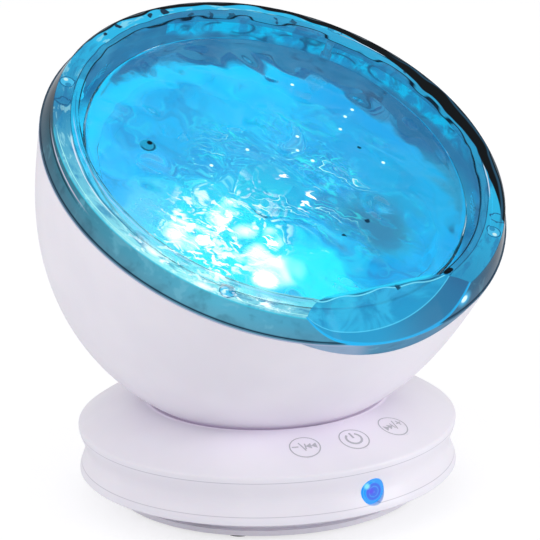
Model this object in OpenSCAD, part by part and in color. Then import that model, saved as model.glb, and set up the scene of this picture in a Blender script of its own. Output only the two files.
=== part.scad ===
// Ocean wave projector: a clear-covered ball on a round base that it tilts in.
// Z is up, the front is -Y, and the table is the plane z = 0 under the rubber feet.
// The head's own frame has its origin at the ball's centre and Z along the head's axis.

/* [Base] */
// Widest radius of the base, at its shoulder
base_r = 52.1; // [50:0.1:58]
// Height of the bottom cover's flange above the table
flange_z = 7.05; // [6.5:0.05:9]
// Height of the bottom cover's edge that shows below the side ring
edge_t = 0.9; // [0.6:0.1:1.4]
// Height of the waisted side ring
ring_h = 11; // [10:0.1:14]
// How far the waist is drawn in
waist = 1.72; // [0:0.01:2.2]
// Wall of the side ring at its waist
ring_wall = 2.05; // [1.6:0.05:2.6]
// Height of the top plate's lip, from its edge line to the shoulder
shoulder_h = 1; // [0.8:0.1:2]
// Radius of the shoulder's rounding
shoulder_fillet = 0.9; // [0.4:0.1:1.5]
// Radius of the top plate's cushion arc
cushion_r = 33.7; // [30:0.1:60]
// Wall of the top plate
plate_wall = 2.2; // [1.6:0.1:2.6]
// Radius of the lip that the ball sinks into
lip_r = 33.3; // [31:0.1:36]
// Height of that lip above the table
lip_z = 27.2; // [26:0.1:30]
// Wall of the dish under the ball
dish_wall = 2; // [1.6:0.1:2.4]
// Depth of the locating skirt and spigot inside the side ring
skirt_h = 1.5; // [1:0.1:2]
// Wall of the locating skirt and spigot
skirt_wall = 1.8; // [1.4:0.1:2.4]

/* [Foot] */
// Radius of the foot disc
foot_disc_r = 42.5; // [41.5:0.1:46]
// Thickness of the foot disc's edge
foot_disc_t = 1.4; // [1:0.1:2]
// Radius of the neck between the foot disc and the flange
neck_r = 40.5; // [40:0.1:41]
// Wall of the neck
neck_wall = 2; // [1.4:0.1:2.4]
// Thickness of the floor inside the neck
floor_t = 1.6; // [1.4:0.1:2]
// Thickness of the flange inside the side ring
flange_t = 1.8; // [1.4:0.1:2]
// How far a rubber foot stands out below the disc
foot_h = 0.8; // [0.5:0.1:1.5]
// Depth of a rubber foot's recess
foot_recess = 0.6; // [0.4:0.1:0.8]
// Radius of a rubber foot
foot_r = 4; // [3:0.1:4.5]
// Distance of a rubber foot from the base's axis
foot_ring_r = 37.5; // [36:0.1:37.5]

/* [Ball and tilt] */
// Radius of the ball under the bowl
ball_r = 60.7; // [59:0.1:62]
// Gap between the ball and the dish
ball_gap = 0.7; // [0.6:0.05:1]
// Tilt of the head towards the front
tilt = 31.2; // [0:0.1:45]
// Largest tilt of the head
tilt_max = 45; // [40:1:45]
// Radius of the hollow post that carries the ball
post_r = 4.5; // [4:0.1:4.8]
// Radius of the post's bore for the leads
post_bore_r = 2.6; // [2:0.1:3]
// Length of the post beyond the ball's surface
post_reach = 13.3; // [12.8:0.1:14.3]
// Depth of the flat seat for the post's flange below the ball's surface
post_inset = 6.2; // [5.7:0.1:7.7]
// Thickness of the post's flange
post_flange_t = 3; // [2:0.1:4]
// Radius of the post's flange
post_flange_r = 9.5; // [9:0.1:10.5]
// Gap between the post and the sides of its slot in the dish
slot_gap = 0.4; // [0.3:0.1:0.8]
// Radius of the clamp saddle under the dish
saddle_r = 9; // [8:0.1:9.4]
// Thickness of the clamp saddle
saddle_t = 2; // [1.6:0.1:2.2]
// Gap between the clamp saddle and the dish
saddle_gap = 0.3; // [0.2:0.05:0.4]
// Thickness of the clamp washer
washer_t = 1; // [0.8:0.1:1.2]
// Thickness of the clamp nut
nut_t = 2.4; // [2:0.1:2.6]
// Radius of the clamp nut over its corners
nut_r = 7; // [6.5:0.1:7.4]
// Wire radius of the clamp spring
clamp_wire_r = 0.5; // [0.4:0.05:0.55]
// Mean radius of the clamp spring
clamp_coil_r = 5.7; // [5.5:0.1:6.2]
// Turns of the clamp spring
clamp_turns = 2; // [1.5:0.25:2.25]

/* [Bowl] */
// Radius of the bowl at its rim
rim_r = 64.8; // [63:0.1:68]
// Height of the rim above the ball's centre
rim_h = 14; // [12:0.1:18]
// Height at which the ball starts to flare, from the ball's centre
flare_h = -29.4; // [-32:0.1:-26]
// Slope of the wall at the rim, outwards for each step up
rim_slope = 0.16; // [0.1:0.01:0.25]
// Wall of the bowl
bowl_wall = 2.4; // [2:0.1:2.6]
// Half the width of the dip in the rim
dip_w = 26.4; // [22:0.1:30]
// Depth of the dip in the rim
dip_d = 4.8; // [4:0.1:5.5]

/* [Cover] */
// Height of the cover's side band
band_h = 7.15; // [6.5:0.05:10]
// How far the band leans in from its foot to its top edge
band_lean = 2.3; // [1.3:0.1:3]
// Height of the small lip at the foot of the band
lip_h = 0.6; // [0.4:0.1:1]
// Width of the step above that lip
lip_step = 0.3; // [0.2:0.05:0.5]
// Wall of the cover's top
cover_wall = 2.1; // [1.8:0.1:2.4]
// Thickness of the cover's side at its foot
cover_side = 4.4; // [4.2:0.1:5]
// Depth of the cover's spigot inside the bowl
spigot_h = 2.5; // [1.5:0.1:3]
// Wall of the spigot
spigot_wall = 1.4; // [1:0.1:1.5]
// Gap at the joint line between the cover and the bowl
seam = 0.1; // [0.05:0.01:0.2]
// Distance of the ring rib's inner edge from the band's top edge
rib_in = 7.1; // [6.5:0.1:8]
// Width of the ring rib on the cover
rib_w = 3.3; // [2.5:0.1:4]
// Height of the ring rib above the outer annulus
rib_h = 0.6; // [0.3:0.1:1]
// Drop of the window's edge below the outer annulus
window_drop = 0.3; // [0:0.1:0.5]
// Rise of the domed window above its edge
window_rise = 1.6; // [0.5:0.1:4]
// Distance of the scoop's upper edge from the bowl's rim
scoop_in = 13.3; // [10.8:0.1:14.8]
// Slope of the scooped facet
scoop_a = 29; // [26:0.5:30]
// Half the width of the facet's flat part
scoop_w = 16; // [12:0.1:18]
// Radius of the facet's ends
scoop_end_r = 20; // [16:0.1:26]

/* [Ripple lens] */
// Room between the fixed rippled lens and the cover's side
lens_room = 7.2; // [7.2:0.1:9.4]
// Height of the lens ring's seat on the cover's posts
ring_seat_h = 16.2; // [15.8:0.1:16.4]
// Thickness of the lens ring's ears
ear_t = 1.6; // [1.2:0.1:1.8]
// Height of the lens ring
lens_ring_h = 2.8; // [2.4:0.1:3.2]
// Thickness of the lens ring's ledge
ledge_t = 1.2; // [1:0.1:1.4]
// Width of the lens ring's ledge under the lens
ledge_w = 1.9; // [1.2:0.1:2.2]
// Wall of the lens ring
lens_ring_wall = 2; // [1.4:0.1:2.4]
// Mean thickness of the fixed lens
lens_t = 2; // [1.8:0.1:2.2]
// Height of the ripples above and below their mean
ripple_a = 0.5; // [0.2:0.05:0.6]
// Distance between ripples
ripple_l = 11; // [8:0.5:16]
// Distance of the cover's posts from its side
clip_post_in = 3.4; // [3:0.1:3.4]
// Radius of the cover's posts
clip_post_r = 2.2; // [2:0.1:2.4]
// Radius of a lens screw's shank
lens_screw_r = 1.1; // [0.9:0.05:1.2]

/* [Lamp tray] */
// Height of the tray's flange seat above the ball's centre
tray_seat_h = 2.2; // [2:0.1:2.6]
// Thickness of the tray's flange
tray_flange_t = 1.8; // [1.4:0.1:2]
// Radius of the tray's well at its top
well_r = 47; // [46.5:0.1:48]
// Radius of the tray's well at its floor
well_floor_r = 45; // [44:0.1:45.5]
// Depth of the tray's well below the flange's top
well_d = 4; // [3.8:0.1:4.2]
// Wall of the tray's well
tray_wall = 1.8; // [1.5:0.1:2]
// Distance of the tray screws from the bowl's outer face
tray_screw_in = 9; // [8:0.1:10]
// Radius of the bowl's bosses under the tray
boss_r = 3.5; // [3:0.1:4]
// Radius of the shank of a tray screw or base screw
screw_r = 1.4; // [1.2:0.05:1.5]
// Radius of such a screw's head
screw_head_r = 2.6; // [2.4:0.1:2.8]
// Height of such a screw's head
screw_head_t = 1.5; // [1.2:0.1:1.8]

/* [Lamps] */
// Radius of the lamp board
led_board_r = 42; // [41:0.1:43]
// Thickness of the lamp board
led_board_t = 1.6; // [1.4:0.1:1.6]
// Number of lamps
led_count = 12; // [8:1:12]
// Distance of the lamps from the head's axis
led_ring_r = 33; // [32:0.1:35]
// Radius of a lamp's body
led_r = 2.6; // [2:0.1:2.8]
// Radius of a lamp's dome
led_dome_r = 2.1; // [1.6:0.1:2.2]
// Height of a lamp's body
led_t = 1.2; // [1:0.1:1.4]
// Gap around a lamp in its window
led_gap = 0.6; // [0.4:0.1:0.8]

/* [Wave disc] */
// Distance of the disc's edge from the edge of the lens above it
disc_room = 5.6; // [5.2:0.1:9.2]
// Radius of the disc's centre hole
disc_hole_r = 4.2; // [4.1:0.1:5]
// Mean thickness of the wave disc
disc_t = 2; // [1.6:0.1:2.4]
// Height of the disc's underside above the ball's centre
disc_h = 7.6; // [7:0.1:8]
// Radius of the flange that carries the disc
hub_flange_r = 9; // [8:0.1:10]
// Thickness of that flange
hub_flange_t = 1.6; // [1.2:0.1:2]
// Radius of the hub's sleeve
hub_r = 3.6; // [3.2:0.1:3.9]
// Radius of the cap that holds the disc
cap_r = 5.6; // [5:0.1:7]
// Height of that cap
cap_t = 2; // [1.6:0.1:2.2]

/* [Drive] */
// Gear module, the pitch diameter for each tooth
gear_module = 0.7; // [0.68:0.01:0.72]
// Teeth of the motor pinion
pinion_teeth = 14; // [13:1:16]
// Teeth of the compound gear's wheel
wheel_teeth = 42; // [40:1:44]
// Teeth of the compound gear's pinion
small_teeth = 14; // [14:1:15]
// Teeth of the disc gear
disc_teeth = 56; // [54:1:57]
// Width of a gear's teeth
gear_w = 3.2; // [2.6:0.1:3.2]
// Play between meshing teeth at the pitch circle
backlash = 0.2; // [0.15:0.01:0.3]
// Direction of the motor from the compound gear
motor_dir = 200; // [196:1:204]
// Height of the gear plate's top above the ball's centre
gear_plate_h = -3.8; // [-4.2:0.1:-3.8]
// Thickness of the gear plate and of the motor plate
gear_plate_t = 1.6; // [1.4:0.1:2]
// Gap between the gear plate and the motor plate
gear_room = 8.6; // [8.6:0.1:9.4]
// Radius of the disc's spindle
spindle_r = 2; // [1.6:0.1:2.2]
// Radius of the compound gear's pin
gear_pin_r = 1.5; // [1.2:0.1:1.6]
// Running clearance of a shaft in its bearing
run = 0.06; // [0.03:0.01:0.08]
// Clearance of a shaft in a hub that turns with it
snug = 0.02; // [0.01:0.01:0.03]
// Radius of the pillars between the plates
pillar_r = 3; // [2.8:0.1:3.2]
// Radius of the motor
motor_r = 12; // [11:0.1:12.5]
// Height of the motor
motor_h = 14; // [11:0.1:16]
// Radius of the motor's front boss
motor_boss_r = 3; // [2.5:0.1:3.2]
// Radius of the motor's shaft
motor_shaft_r = 1; // [0.8:0.05:1.2]
// Distance of the motor's screws from its shaft
motor_screw_r0 = 9; // [8.8:0.1:9.2]

/* [Controls] */
// Radius of the indicator lens
indicator_r = 3.6; // [3:0.1:4]
// Height of the indicator lens above the table
indicator_z = 12.65; // [12.2:0.05:13.2]
// How far the indicator lens stands out of the waist
indicator_out = 0.6; // [0.3:0.1:1]
// Distance of the touch areas from the base's axis
touch_r0 = 43.5; // [43.3:0.1:43.7]
// Angle between neighbouring touch areas
touch_step = 19.5; // [18:0.5:20]
// Height of the touch board's underside above the table
touch_board_z = 15.4; // [15.3:0.1:15.8]
// Thickness of the touch board
touch_board_t = 1.6; // [1.4:0.1:1.6]
// Height of the touch springs
touch_spring_h = 4.2; // [4:0.1:4.4]
// Mean radius of the touch springs
touch_coil_r = 2.6; // [2.4:0.1:3]
// Wire radius of the touch springs
touch_wire_r = 0.3; // [0.2:0.05:0.3]
// Turns of a touch spring
touch_turns = 3; // [2.5:0.25:3.25]
// Height of the main board's underside above the table
main_board_z = 11; // [11:0.1:11.3]
// Thickness of the main board
main_board_t = 1.2; // [1:0.1:1.4]
// Radius of the audio jack's bore
audio_r = 1.8; // [1.75:0.05:1.85]
// Depth of the audio jack's bore
audio_d = 11; // [10:0.5:11]
// Distance of the rear sockets from the middle plane
socket_x = 10; // [9.5:0.1:10.5]
// Width of the power socket's opening
usb_w = 7.4; // [7:0.1:7.6]
// Height of the power socket's opening
usb_h = 2.1; // [1.9:0.1:2.2]

/* [Speaker] */
// Distance of the speaker's axis from the base's axis
speaker_x = 24.3; // [24.3:0.1:24.5]
// Radius of the speaker's frame
speaker_r = 13.5; // [13:0.1:13.6]
// Height of the speaker's frame
speaker_h = 6.1; // [5.8:0.1:6.6]
// Wall of the speaker's frame
speaker_wall = 0.8; // [0.6:0.1:0.9]
// Radius of the speaker's magnet
magnet_r = 8; // [7:0.1:8.5]
// Height of the speaker's magnet
magnet_h = 4; // [3:0.1:4.5]
// Gap around the moving cone
cone_gap = 0.4; // [0.3:0.05:0.5]
// Radius of a grille hole
grille_r = 0.9; // [0.7:0.05:1]
// Distance between grille holes
grille_step = 3.2; // [2.8:0.1:3.4]
// Radius of a lead
lead_r = 0.9; // [0.6:0.1:0.9]

/* [Hidden] */

$fn = 72;
eps = 0.01;
fit_gap = 0.1;
pilot_gap = 0.05;
hole_spare = 0.5;
cut_over = 1;
corners = [45, 135, 225, 315];
small_screw_r = 1.1;
small_head_r = 2;
small_head_t = 1;

// Base heights
edge_z = flange_z + edge_t;
plate_z = edge_z + ring_h;
shoulder_z = plate_z + shoulder_h;
flange_top = flange_z + flange_t;
floor_z = foot_h + floor_t;
ring_in_r = base_r - waist - ring_wall;
skirt_r = ring_in_r - fit_gap;
foot_edge = 0.3;

// Bosses and boards in the base
boss_bite = 0.8;
base_screw_r0 = neck_r + screw_head_r + 2 * fit_gap;
base_screw_angles = [-30, 30, 150, 210];
base_screw_l = 8;
base_boss_r = skirt_r - skirt_wall - fit_gap - base_screw_r0;
board_boss_r = 2.4;
board_grip = 3;
board_in_r = 36.9;
board_out_r = ring_in_r - 1.4;
board_mid_r = (board_in_r + board_out_r) / 2;
main_board_top = main_board_z + main_board_t;
main_boss_angles = [60, 120];
touch_board_top = touch_board_z + touch_board_t;
touch_boss_angles = [-90 - 1.5 * touch_step, -90 + 1.5 * touch_step];
touch_spring_top = touch_board_top + touch_spring_h;

// Sockets at the rear
usb_shell = 0.5;
usb_shell_w = usb_w + 2 * usb_shell;
usb_shell_h = usb_h + 2 * usb_shell;
usb_z = main_board_top + usb_shell_h / 2;
audio_body = [6.4, 8.4, 5.2];
audio_nose_r = 2.5;
audio_z = main_board_top + audio_body[2] / 2;
socket_back_y = 46.2;
socket_inset = 1.1;

// Indicator lamp
indicator_led_r = 2.5;
led_face_y = 1.7 - ring_in_r;
indicator_flange_r = indicator_r + 1;
indicator_flange_y = ring_in_r - 1.1;
indicator_flange_t = 0.8;

// Speaker
cone_r = speaker_r - 2;
voice_r = 3.5;
paper_t = 0.4;
speaker_back_z = floor_z + speaker_h;
speaker_top_z = speaker_back_z + magnet_h;

// Ball
ball_z = lip_z + sqrt(pow(ball_r + ball_gap, 2) - pow(lip_r, 2));
dish_r = ball_r + ball_gap;
dish_out_r = dish_r + dish_wall;
dish_join_r = lip_r + dish_wall - 0.3;
post_lean = tilt_max / 2;
post_end = ball_r + post_reach;
post_seat = ball_r - post_inset;
post_screw_r0 = 6.9;
post_screw_angles = [90, 210, 330];
post_grip = 3.4;

// Clamp on the post, as distances from the ball's centre
saddle_in = dish_out_r + saddle_gap;
saddle_out = saddle_in + saddle_t;
nut_in = post_end - 0.6 - nut_t;
washer_in = nut_in - washer_t;
washer_r = clamp_coil_r + 1.6;

// Cover
cover_h = rim_h + band_h;
band_top_r = rim_r - band_lean;
cover_in_r = rim_r - cover_side;
rib_in_r = band_top_r - rib_in;
rib_out_r = rib_in_r + rib_w;
scoop_y = rim_r - scoop_in;
scoop_up = 12;
scoop_long = 40;
lens_r = cover_in_r - lens_room;
clip_post_r0 = cover_in_r - clip_post_in;
cover_edge = 0.4;
lens_screw_grip = 2.6;
lens_seat_r = lens_r + fit_gap;
lens_ring_r = lens_seat_r + lens_ring_wall;
lens_head_r = clip_post_r0 - lens_ring_r - fit_gap;
dip_r = (pow(dip_w, 2) + pow(dip_d, 2)) / (2 * dip_d);

// Head stack
disc_r = lens_r - disc_room;
well_floor_h = tray_seat_h + tray_flange_t - well_d;
tray_low_h = well_floor_h - tray_wall;
tray_grip = 5.5;
board_top_h = tray_low_h - 0.2;
gear_plate_low = gear_plate_h - gear_plate_t;
motor_plate_h = gear_plate_low - gear_room;
motor_plate_low = motor_plate_h - gear_plate_t;
gear_gap = 0.6;
gear_hub_r = 3;
end_play = 0.2;
hub_top_h = gear_plate_low - end_play;
hub_low_h = motor_plate_h + end_play;
upper_gear_h = hub_top_h - gear_gap - gear_w;
lower_gear_h = upper_gear_h - gear_gap - gear_w;
motor_top = motor_plate_low - fit_gap;
motor_grip = 2.8;
shaft_in = 2.8;
plate_edge = 2;
gearbox_screw_top = well_floor_h - 1.2;

function pitch_r(teeth) = teeth * gear_module / 2;

compound_pos = [0, pitch_r(small_teeth) + pitch_r(disc_teeth)];
motor_pos = compound_pos
  + (pitch_r(pinion_teeth) + pitch_r(wheel_teeth)) * [cos(motor_dir), sin(motor_dir)];
function pillar_dist(teeth) = pitch_r(teeth) + gear_module + pillar_r + 0.7;
pillars = [
  pillar_dist(disc_teeth) * [cos(-9), sin(-9)],
  pillar_dist(disc_teeth) * [cos(194), sin(194)],
  compound_pos + pillar_dist(wheel_teeth) * [0, 1]];

// Points on an arc of radius r about the centre c, from angle a to angle b
function arc(c, r, a, b, n) =
  [for (i = [0 : n]) c + r * [cos(a + (b - a) * i / n), sin(a + (b - a) * i / n)]];

// Radius of the base's waisted side at height z
function side_r(z) =
  base_r - waist * (1 - cos(360 * (z - flange_z) / (shoulder_z - flange_z))) / 2;

socket_face_y = side_r(audio_z) - socket_inset;

function side_pts(z0, z1, n) =
  [for (i = [0 : n]) let (z = z0 + (z1 - z0) * i / n) [side_r(z), z]];

// Centre of the cushion arc, which passes the lip and is tangent to the shoulder's rounding
shoulder_c = [base_r - shoulder_fillet, shoulder_z];
lip_pt = [lip_r, lip_z];
chord = norm(shoulder_c - lip_pt);
chord_dir = (shoulder_c - lip_pt) / chord;
along = (pow(cushion_r, 2) - pow(cushion_r - shoulder_fillet, 2) + pow(chord, 2)) / (2 * chord);
below = sqrt(pow(cushion_r, 2) - pow(along, 2));
cushion_c = lip_pt + along * chord_dir + below * [chord_dir[1], -chord_dir[0]];
lip_angle = atan2(lip_z - cushion_c[1], lip_r - cushion_c[0]);
shoulder_angle = atan2(shoulder_z - cushion_c[1], shoulder_c[0] - cushion_c[0]);

// Height of the top plate's outer and inner faces at radius r
function cushion_z(r) = cushion_c[1] + sqrt(pow(cushion_r, 2) - pow(r - cushion_c[0], 2));
function under_z(r) =
  cushion_c[1] + sqrt(pow(cushion_r - plate_wall, 2) - pow(r - cushion_c[0], 2));

// Outer radius of the bowl at height h: a sphere up to flare_h, then a smooth flare to the rim
flare_r0 = sqrt(pow(ball_r, 2) - pow(flare_h, 2));
flare_len = rim_h - flare_h;
function flare(u) =
  (2 * pow(u, 3) - 3 * pow(u, 2) + 1) * flare_r0
  + (pow(u, 3) - 2 * pow(u, 2) + u) * flare_len * -flare_h / flare_r0
  + (3 * pow(u, 2) - 2 * pow(u, 3)) * rim_r
  + (pow(u, 3) - pow(u, 2)) * flare_len * rim_slope;
function bowl_r(h) = flare((h - flare_h) / flare_len);
tray_screw_r0 = bowl_r(tray_seat_h) - tray_screw_in;

function bowl_slope(h) = (bowl_r(h + 0.01) - bowl_r(h - 0.01)) / 0.02;

// The bowl's outline, moved inwards by t along its own normal
function bowl_pts(t) = concat(
  arc([0, 0], ball_r - t, -90, asin(flare_h / ball_r), 30),
  [for (i = [1 : 24])
    let (h = flare_h + flare_len * i / 24, s = bowl_slope(h), k = t / sqrt(1 + s * s))
    [bowl_r(h) - k, h + k * s]]);

// Places the head's parts: about the ball's centre, tilted to the front
module in_head() {
  translate([0, 0, ball_z]) rotate([tilt, 0, 0]) children();
}

// Places the tilt post's parts: Z runs down the post from the ball's centre
module on_post() {
  in_head() rotate([180 - post_lean, 0, 0]) children();
}

module ring(r_out, r_in, z0, z1) {
  rotate_extrude() translate([r_in, z0]) square([r_out - r_in, z1 - z0]);
}

module tube(r_out, r_in, z0, z1) {
  translate([0, 0, z0]) difference() {
    cylinder(r = r_out, h = z1 - z0);
    translate([0, 0, -cut_over]) cylinder(r = r_in, h = z1 - z0 + 2 * cut_over);
  }
}

module rod(r, z0, z1) {
  translate([0, 0, z0]) cylinder(r = r, h = z1 - z0);
}

// A block between radii r_in and r_out, spread over the angle spread about the direction dir
module arc_plate(r_in, r_out, dir, spread, z0, z1) {
  rotate([0, 0, dir]) intersection() {
    ring(r_out, r_in, z0, z1);
    linear_extrude(height = z1 + cut_over) polygon([
      [0, 0], 2 * r_out * [cos(spread / 2), sin(spread / 2)],
      2 * r_out * [cos(spread / 2), -sin(spread / 2)]]);
  }
}

// A screw with its head's underside at the origin and its shank along +Z
module screw(shank_r, shank_l, head_r, head_t) {
  difference() {
    union() {
      rod(shank_r, -eps, shank_l);
      rod(head_r, -head_t, 0);
    }
    for (a = [0, 90]) rotate([0, 0, a]) translate([0, 0, -head_t])
      cube([1.2 * head_r, 0.3 * head_r, head_t], center = true);
  }
}

// The faces of a tube with a ring of points at each of its steps and a cap at both ends
function tube_faces(steps, sides) = concat(
  [[for (k = [sides - 1 : -1 : 0]) k]],
  [[for (k = [0 : sides - 1]) steps * sides + k]],
  [for (i = [0 : steps - 1], k = [0 : sides - 1], half = [0, 1])
    let (n = (k + 1) % sides, p = i * sides, q = p + sides)
    half == 0 ? [p + k, q + n, q + k] : [p + k, p + n, q + n]]);

// The unit vector along v, and v with its share along the unit vector w taken out
function unit(v) = v / norm(v);
function square_to(v, w) = unit(v - (v * w) * w);

// The direction of a route at its point i: the mean of the stretches that meet there
function heading(route, i) = unit(
  (i > 0 ? unit(route[i] - route[i - 1]) : [0, 0, 0])
  + (i < len(route) - 1 ? unit(route[i + 1] - route[i]) : [0, 0, 0]));

// A side vector at each point of a route, carried along so that the tube doesn't twist
function sides_along(route, i, last) = i == len(route) ? [] :
  let (side = square_to(last, heading(route, i))) concat([side], sides_along(route, i + 1, side));

// A lead laid along a route of round points
module lead(route) {
  sides = 8;
  across = sides_along(route, 0, [0.6, 0.8, 0.1]);
  points = [for (i = [0 : len(route) - 1], k = [0 : sides - 1])
    let (h = heading(route, i), s = across[i], b = 360 * k / sides)
    route[i] + lead_r * (cos(b) * s + sin(b) * cross(s, h))];
  polyhedron(points, tube_faces(len(route) - 1, sides));
}

// A coil spring as one unbroken tube along a helix
module coil(coil_r, wire_r, height, turns) {
  steps = round(turns * 10);
  sides = 6;
  rise = height - 2 * wire_r;
  echo(spring_gap = rise / turns - 2 * wire_r);
  points = [for (i = [0 : steps], k = [0 : sides - 1])
    let (a = 360 * turns * i / steps, b = 360 * k / sides, r = coil_r + wire_r * cos(b))
    [r * cos(a), r * sin(a), wire_r + rise * i / steps + wire_r * sin(b)]];
  polyhedron(points, tube_faces(steps, sides));
}

// Height of the ripples at a point, as crossing waves turned by the angle turn
function ripple(x, y, turn) =
  let (w = 360 / ripple_l, c = cos(turn), s = sin(turn), u = c * x - s * y, v = s * x + c * y)
  ripple_a * (0.45 * sin(w * u + 70 * sin(0.31 * w * v))
    + 0.35 * sin(w * (0.4 * u + 0.9 * v) + 60 * sin(0.37 * w * u + 40))
    + 0.2 * sin(1.7 * w * (0.7 * u - 0.6 * v)));

// A round plate out to radius r1, flat below and rippled on top inside its edge. With a hole
// of radius r0 it stays flat round the hole, and without one its rings close on a middle point.
module rippled_plate(r0, r1, t, rings, sectors, turn) {
  holed = r0 > 0;
  flat_r = holed ? r0 + 5 : -4;
  function lift(r, a) = ripple(r * cos(a), r * sin(a), turn)
    * min(1, (r1 - r) / 4) * min(1, max(0, r - flat_r) / 4);
  function circle_pts(r, z) =
    [for (k = [0 : sectors - 1]) let (a = 360 * k / sectors) [r * cos(a), r * sin(a), z]];
  radii = [for (i = [holed ? 0 : 1 : rings]) r0 + (r1 - r0) * i / rings];
  top = [for (r = radii, k = [0 : sectors - 1])
    let (a = 360 * k / sectors) [r * cos(a), r * sin(a), t + lift(r, a)]];
  n = len(top);
  middle = n + sectors;
  inner = holed ? circle_pts(r0, 0) : [[0, 0, t + lift(0, 0)], [0, 0, 0]];
  function skin(p, q, k) = let (m = (k + 1) % sectors) [[p + k, q + m, q + k], [p + k, p + m, q + m]];
  inner_faces = [for (k = [0 : sectors - 1]) let (m = (k + 1) % sectors)
    each (holed ? concat(skin(n, middle, k), skin(middle, 0, k))
      : [[middle, m, k], [middle + 1, n + k, n + m]])];
  faces = concat(
    [for (i = [0 : len(radii) - 2], k = [0 : sectors - 1])
      each skin(i * sectors, (i + 1) * sectors, k)],
    [for (k = [0 : sectors - 1]) each skin(n - sectors, n, k)],
    inner_faces);
  polyhedron(concat(top, circle_pts(r1, 0), inner), faces);
}

// Involute teeth: the polar angle that the flank has turned through at radius r
function unwound(base, r) =
  let (a = r > base ? sqrt(pow(r / base, 2) - 1) * 180 / PI : 0) a - atan(a * PI / 180);

function gear_pts(teeth, phase) =
  let (rp = pitch_r(teeth), base = rp * cos(20), root = rp - 1.15 * gear_module,
    tip = rp + 0.8 * gear_module, half = 90 / teeth - backlash / 4 / rp * 180 / PI,
    radii = [root, max(base, root + 0.1), rp, (rp + tip) / 2, tip])
  [for (i = [0 : teeth - 1], side = [-1, 1], j = [0 : 4])
    let (r = radii[side < 0 ? j : 4 - j],
      a = phase + 360 * i / teeth + side * (half + unwound(base, rp) - unwound(base, r)))
    r * [cos(a), sin(a)]];

module gear(teeth, phase) {
  linear_extrude(height = gear_w) polygon(gear_pts(teeth, phase));
}

// The direction of the side that leaves corner i of a closed path
function side_dir(path, i) =
  let (step = path[(i + 1) % len(path)] - path[i]) atan2(step[1], step[0]);

// A convex path grown by r with round corners: an arc about each corner, from side to side
function grown(path, r) = [for (i = [0 : len(path) - 1])
  let (a = side_dir(path, (i + len(path) - 1) % len(path)) - 90, b = side_dir(path, i) - 90)
  each arc(path[i], r, a, b < a ? b + 360 : b, 8)];

// The outline of a plate that joins the pillars and the motor
module drive_outline() {
  polygon(grown([pillars[0], pillars[2], motor_pos, pillars[1]], pillar_r + plate_edge));
}

module base_bottom() {
  color("white") difference() {
    union() {
      rod(foot_disc_r, foot_h, foot_h + foot_disc_t);
      rod(neck_r, foot_h, flange_top);
      rod(skirt_r, flange_z, flange_top);
      ring(skirt_r, skirt_r - skirt_wall, flange_z, edge_z + skirt_h);
      rotate_extrude() polygon(concat([[neck_r - 1, flange_z]],
        [[side_r(flange_z) - 0.3, flange_z]], side_pts(flange_z + 0.3, edge_z, 2),
        [[neck_r - 1, edge_z]]));
    }
    rod(neck_r - neck_wall, floor_z, flange_top + cut_over);
    for (a = corners) rotate([0, 0, a]) translate([foot_ring_r, 0, 0])
      rod(foot_r + pilot_gap, foot_h - cut_over, foot_h + foot_recess);
    for (a = base_screw_angles) rotate([0, 0, a]) translate([base_screw_r0, 0, 0])
      rod(screw_r + fit_gap, flange_z - cut_over, flange_top + cut_over);
    translate([-indicator_flange_r - fit_gap, -skirt_r - cut_over, flange_top])
      cube([2 * (indicator_flange_r + fit_gap), skirt_wall + 2 * cut_over, ring_h]);
    translate([-speaker_x, 0, 0]) for (i = [-3 : 3], j = [-3 : 3])
      if (norm([i + j / 2, j * sqrt(3) / 2]) < 3.1)
        translate(grille_step * [i + j / 2, j * sqrt(3) / 2])
          rod(grille_r, foot_h - cut_over, floor_z + cut_over);
  }
}

module base_ring() {
  color("white") difference() {
    rotate_extrude() polygon(concat(
      [[ring_in_r, edge_z]], side_pts(edge_z, plate_z, 22), [[ring_in_r, plate_z]]));
    translate([0, 0, indicator_z]) rotate([90, 0, 0]) rod(indicator_r + fit_gap, 0, base_r + 1);
    translate([-socket_x, 0, audio_z]) rotate([-90, 0, 0]) rod(audio_nose_r + fit_gap, 0, base_r + 1);
    translate([socket_x - usb_shell_w / 2 - fit_gap, 0, usb_z - usb_shell_h / 2 - fit_gap])
      cube([usb_shell_w + 2 * fit_gap, base_r + 1, usb_shell_h + 2 * fit_gap]);
  }
}

// The outline of the top plate's shell and dish in one half plane
module top_outline() {
  polygon(concat(
    arc(cushion_c, cushion_r, lip_angle, shoulder_angle, 20),
    arc(shoulder_c, shoulder_fillet, shoulder_angle, 0, 5),
    side_pts(shoulder_z - 0.1, plate_z, 3),
    [[skirt_r, plate_z], [skirt_r, plate_z - skirt_h], [skirt_r - skirt_wall, plate_z - skirt_h],
      [skirt_r - skirt_wall, under_z(skirt_r - skirt_wall)]],
    arc(cushion_c, cushion_r - plate_wall,
      acos((skirt_r - skirt_wall - cushion_c[0]) / (cushion_r - plate_wall)),
      acos((dish_join_r - cushion_c[0]) / (cushion_r - plate_wall)), 16),
    arc([0, ball_z], dish_out_r, asin(dish_join_r / dish_out_r) - 90, -90, 10),
    arc([0, ball_z], dish_r, -90, asin(lip_r / dish_r) - 90, 20)));
}

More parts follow.
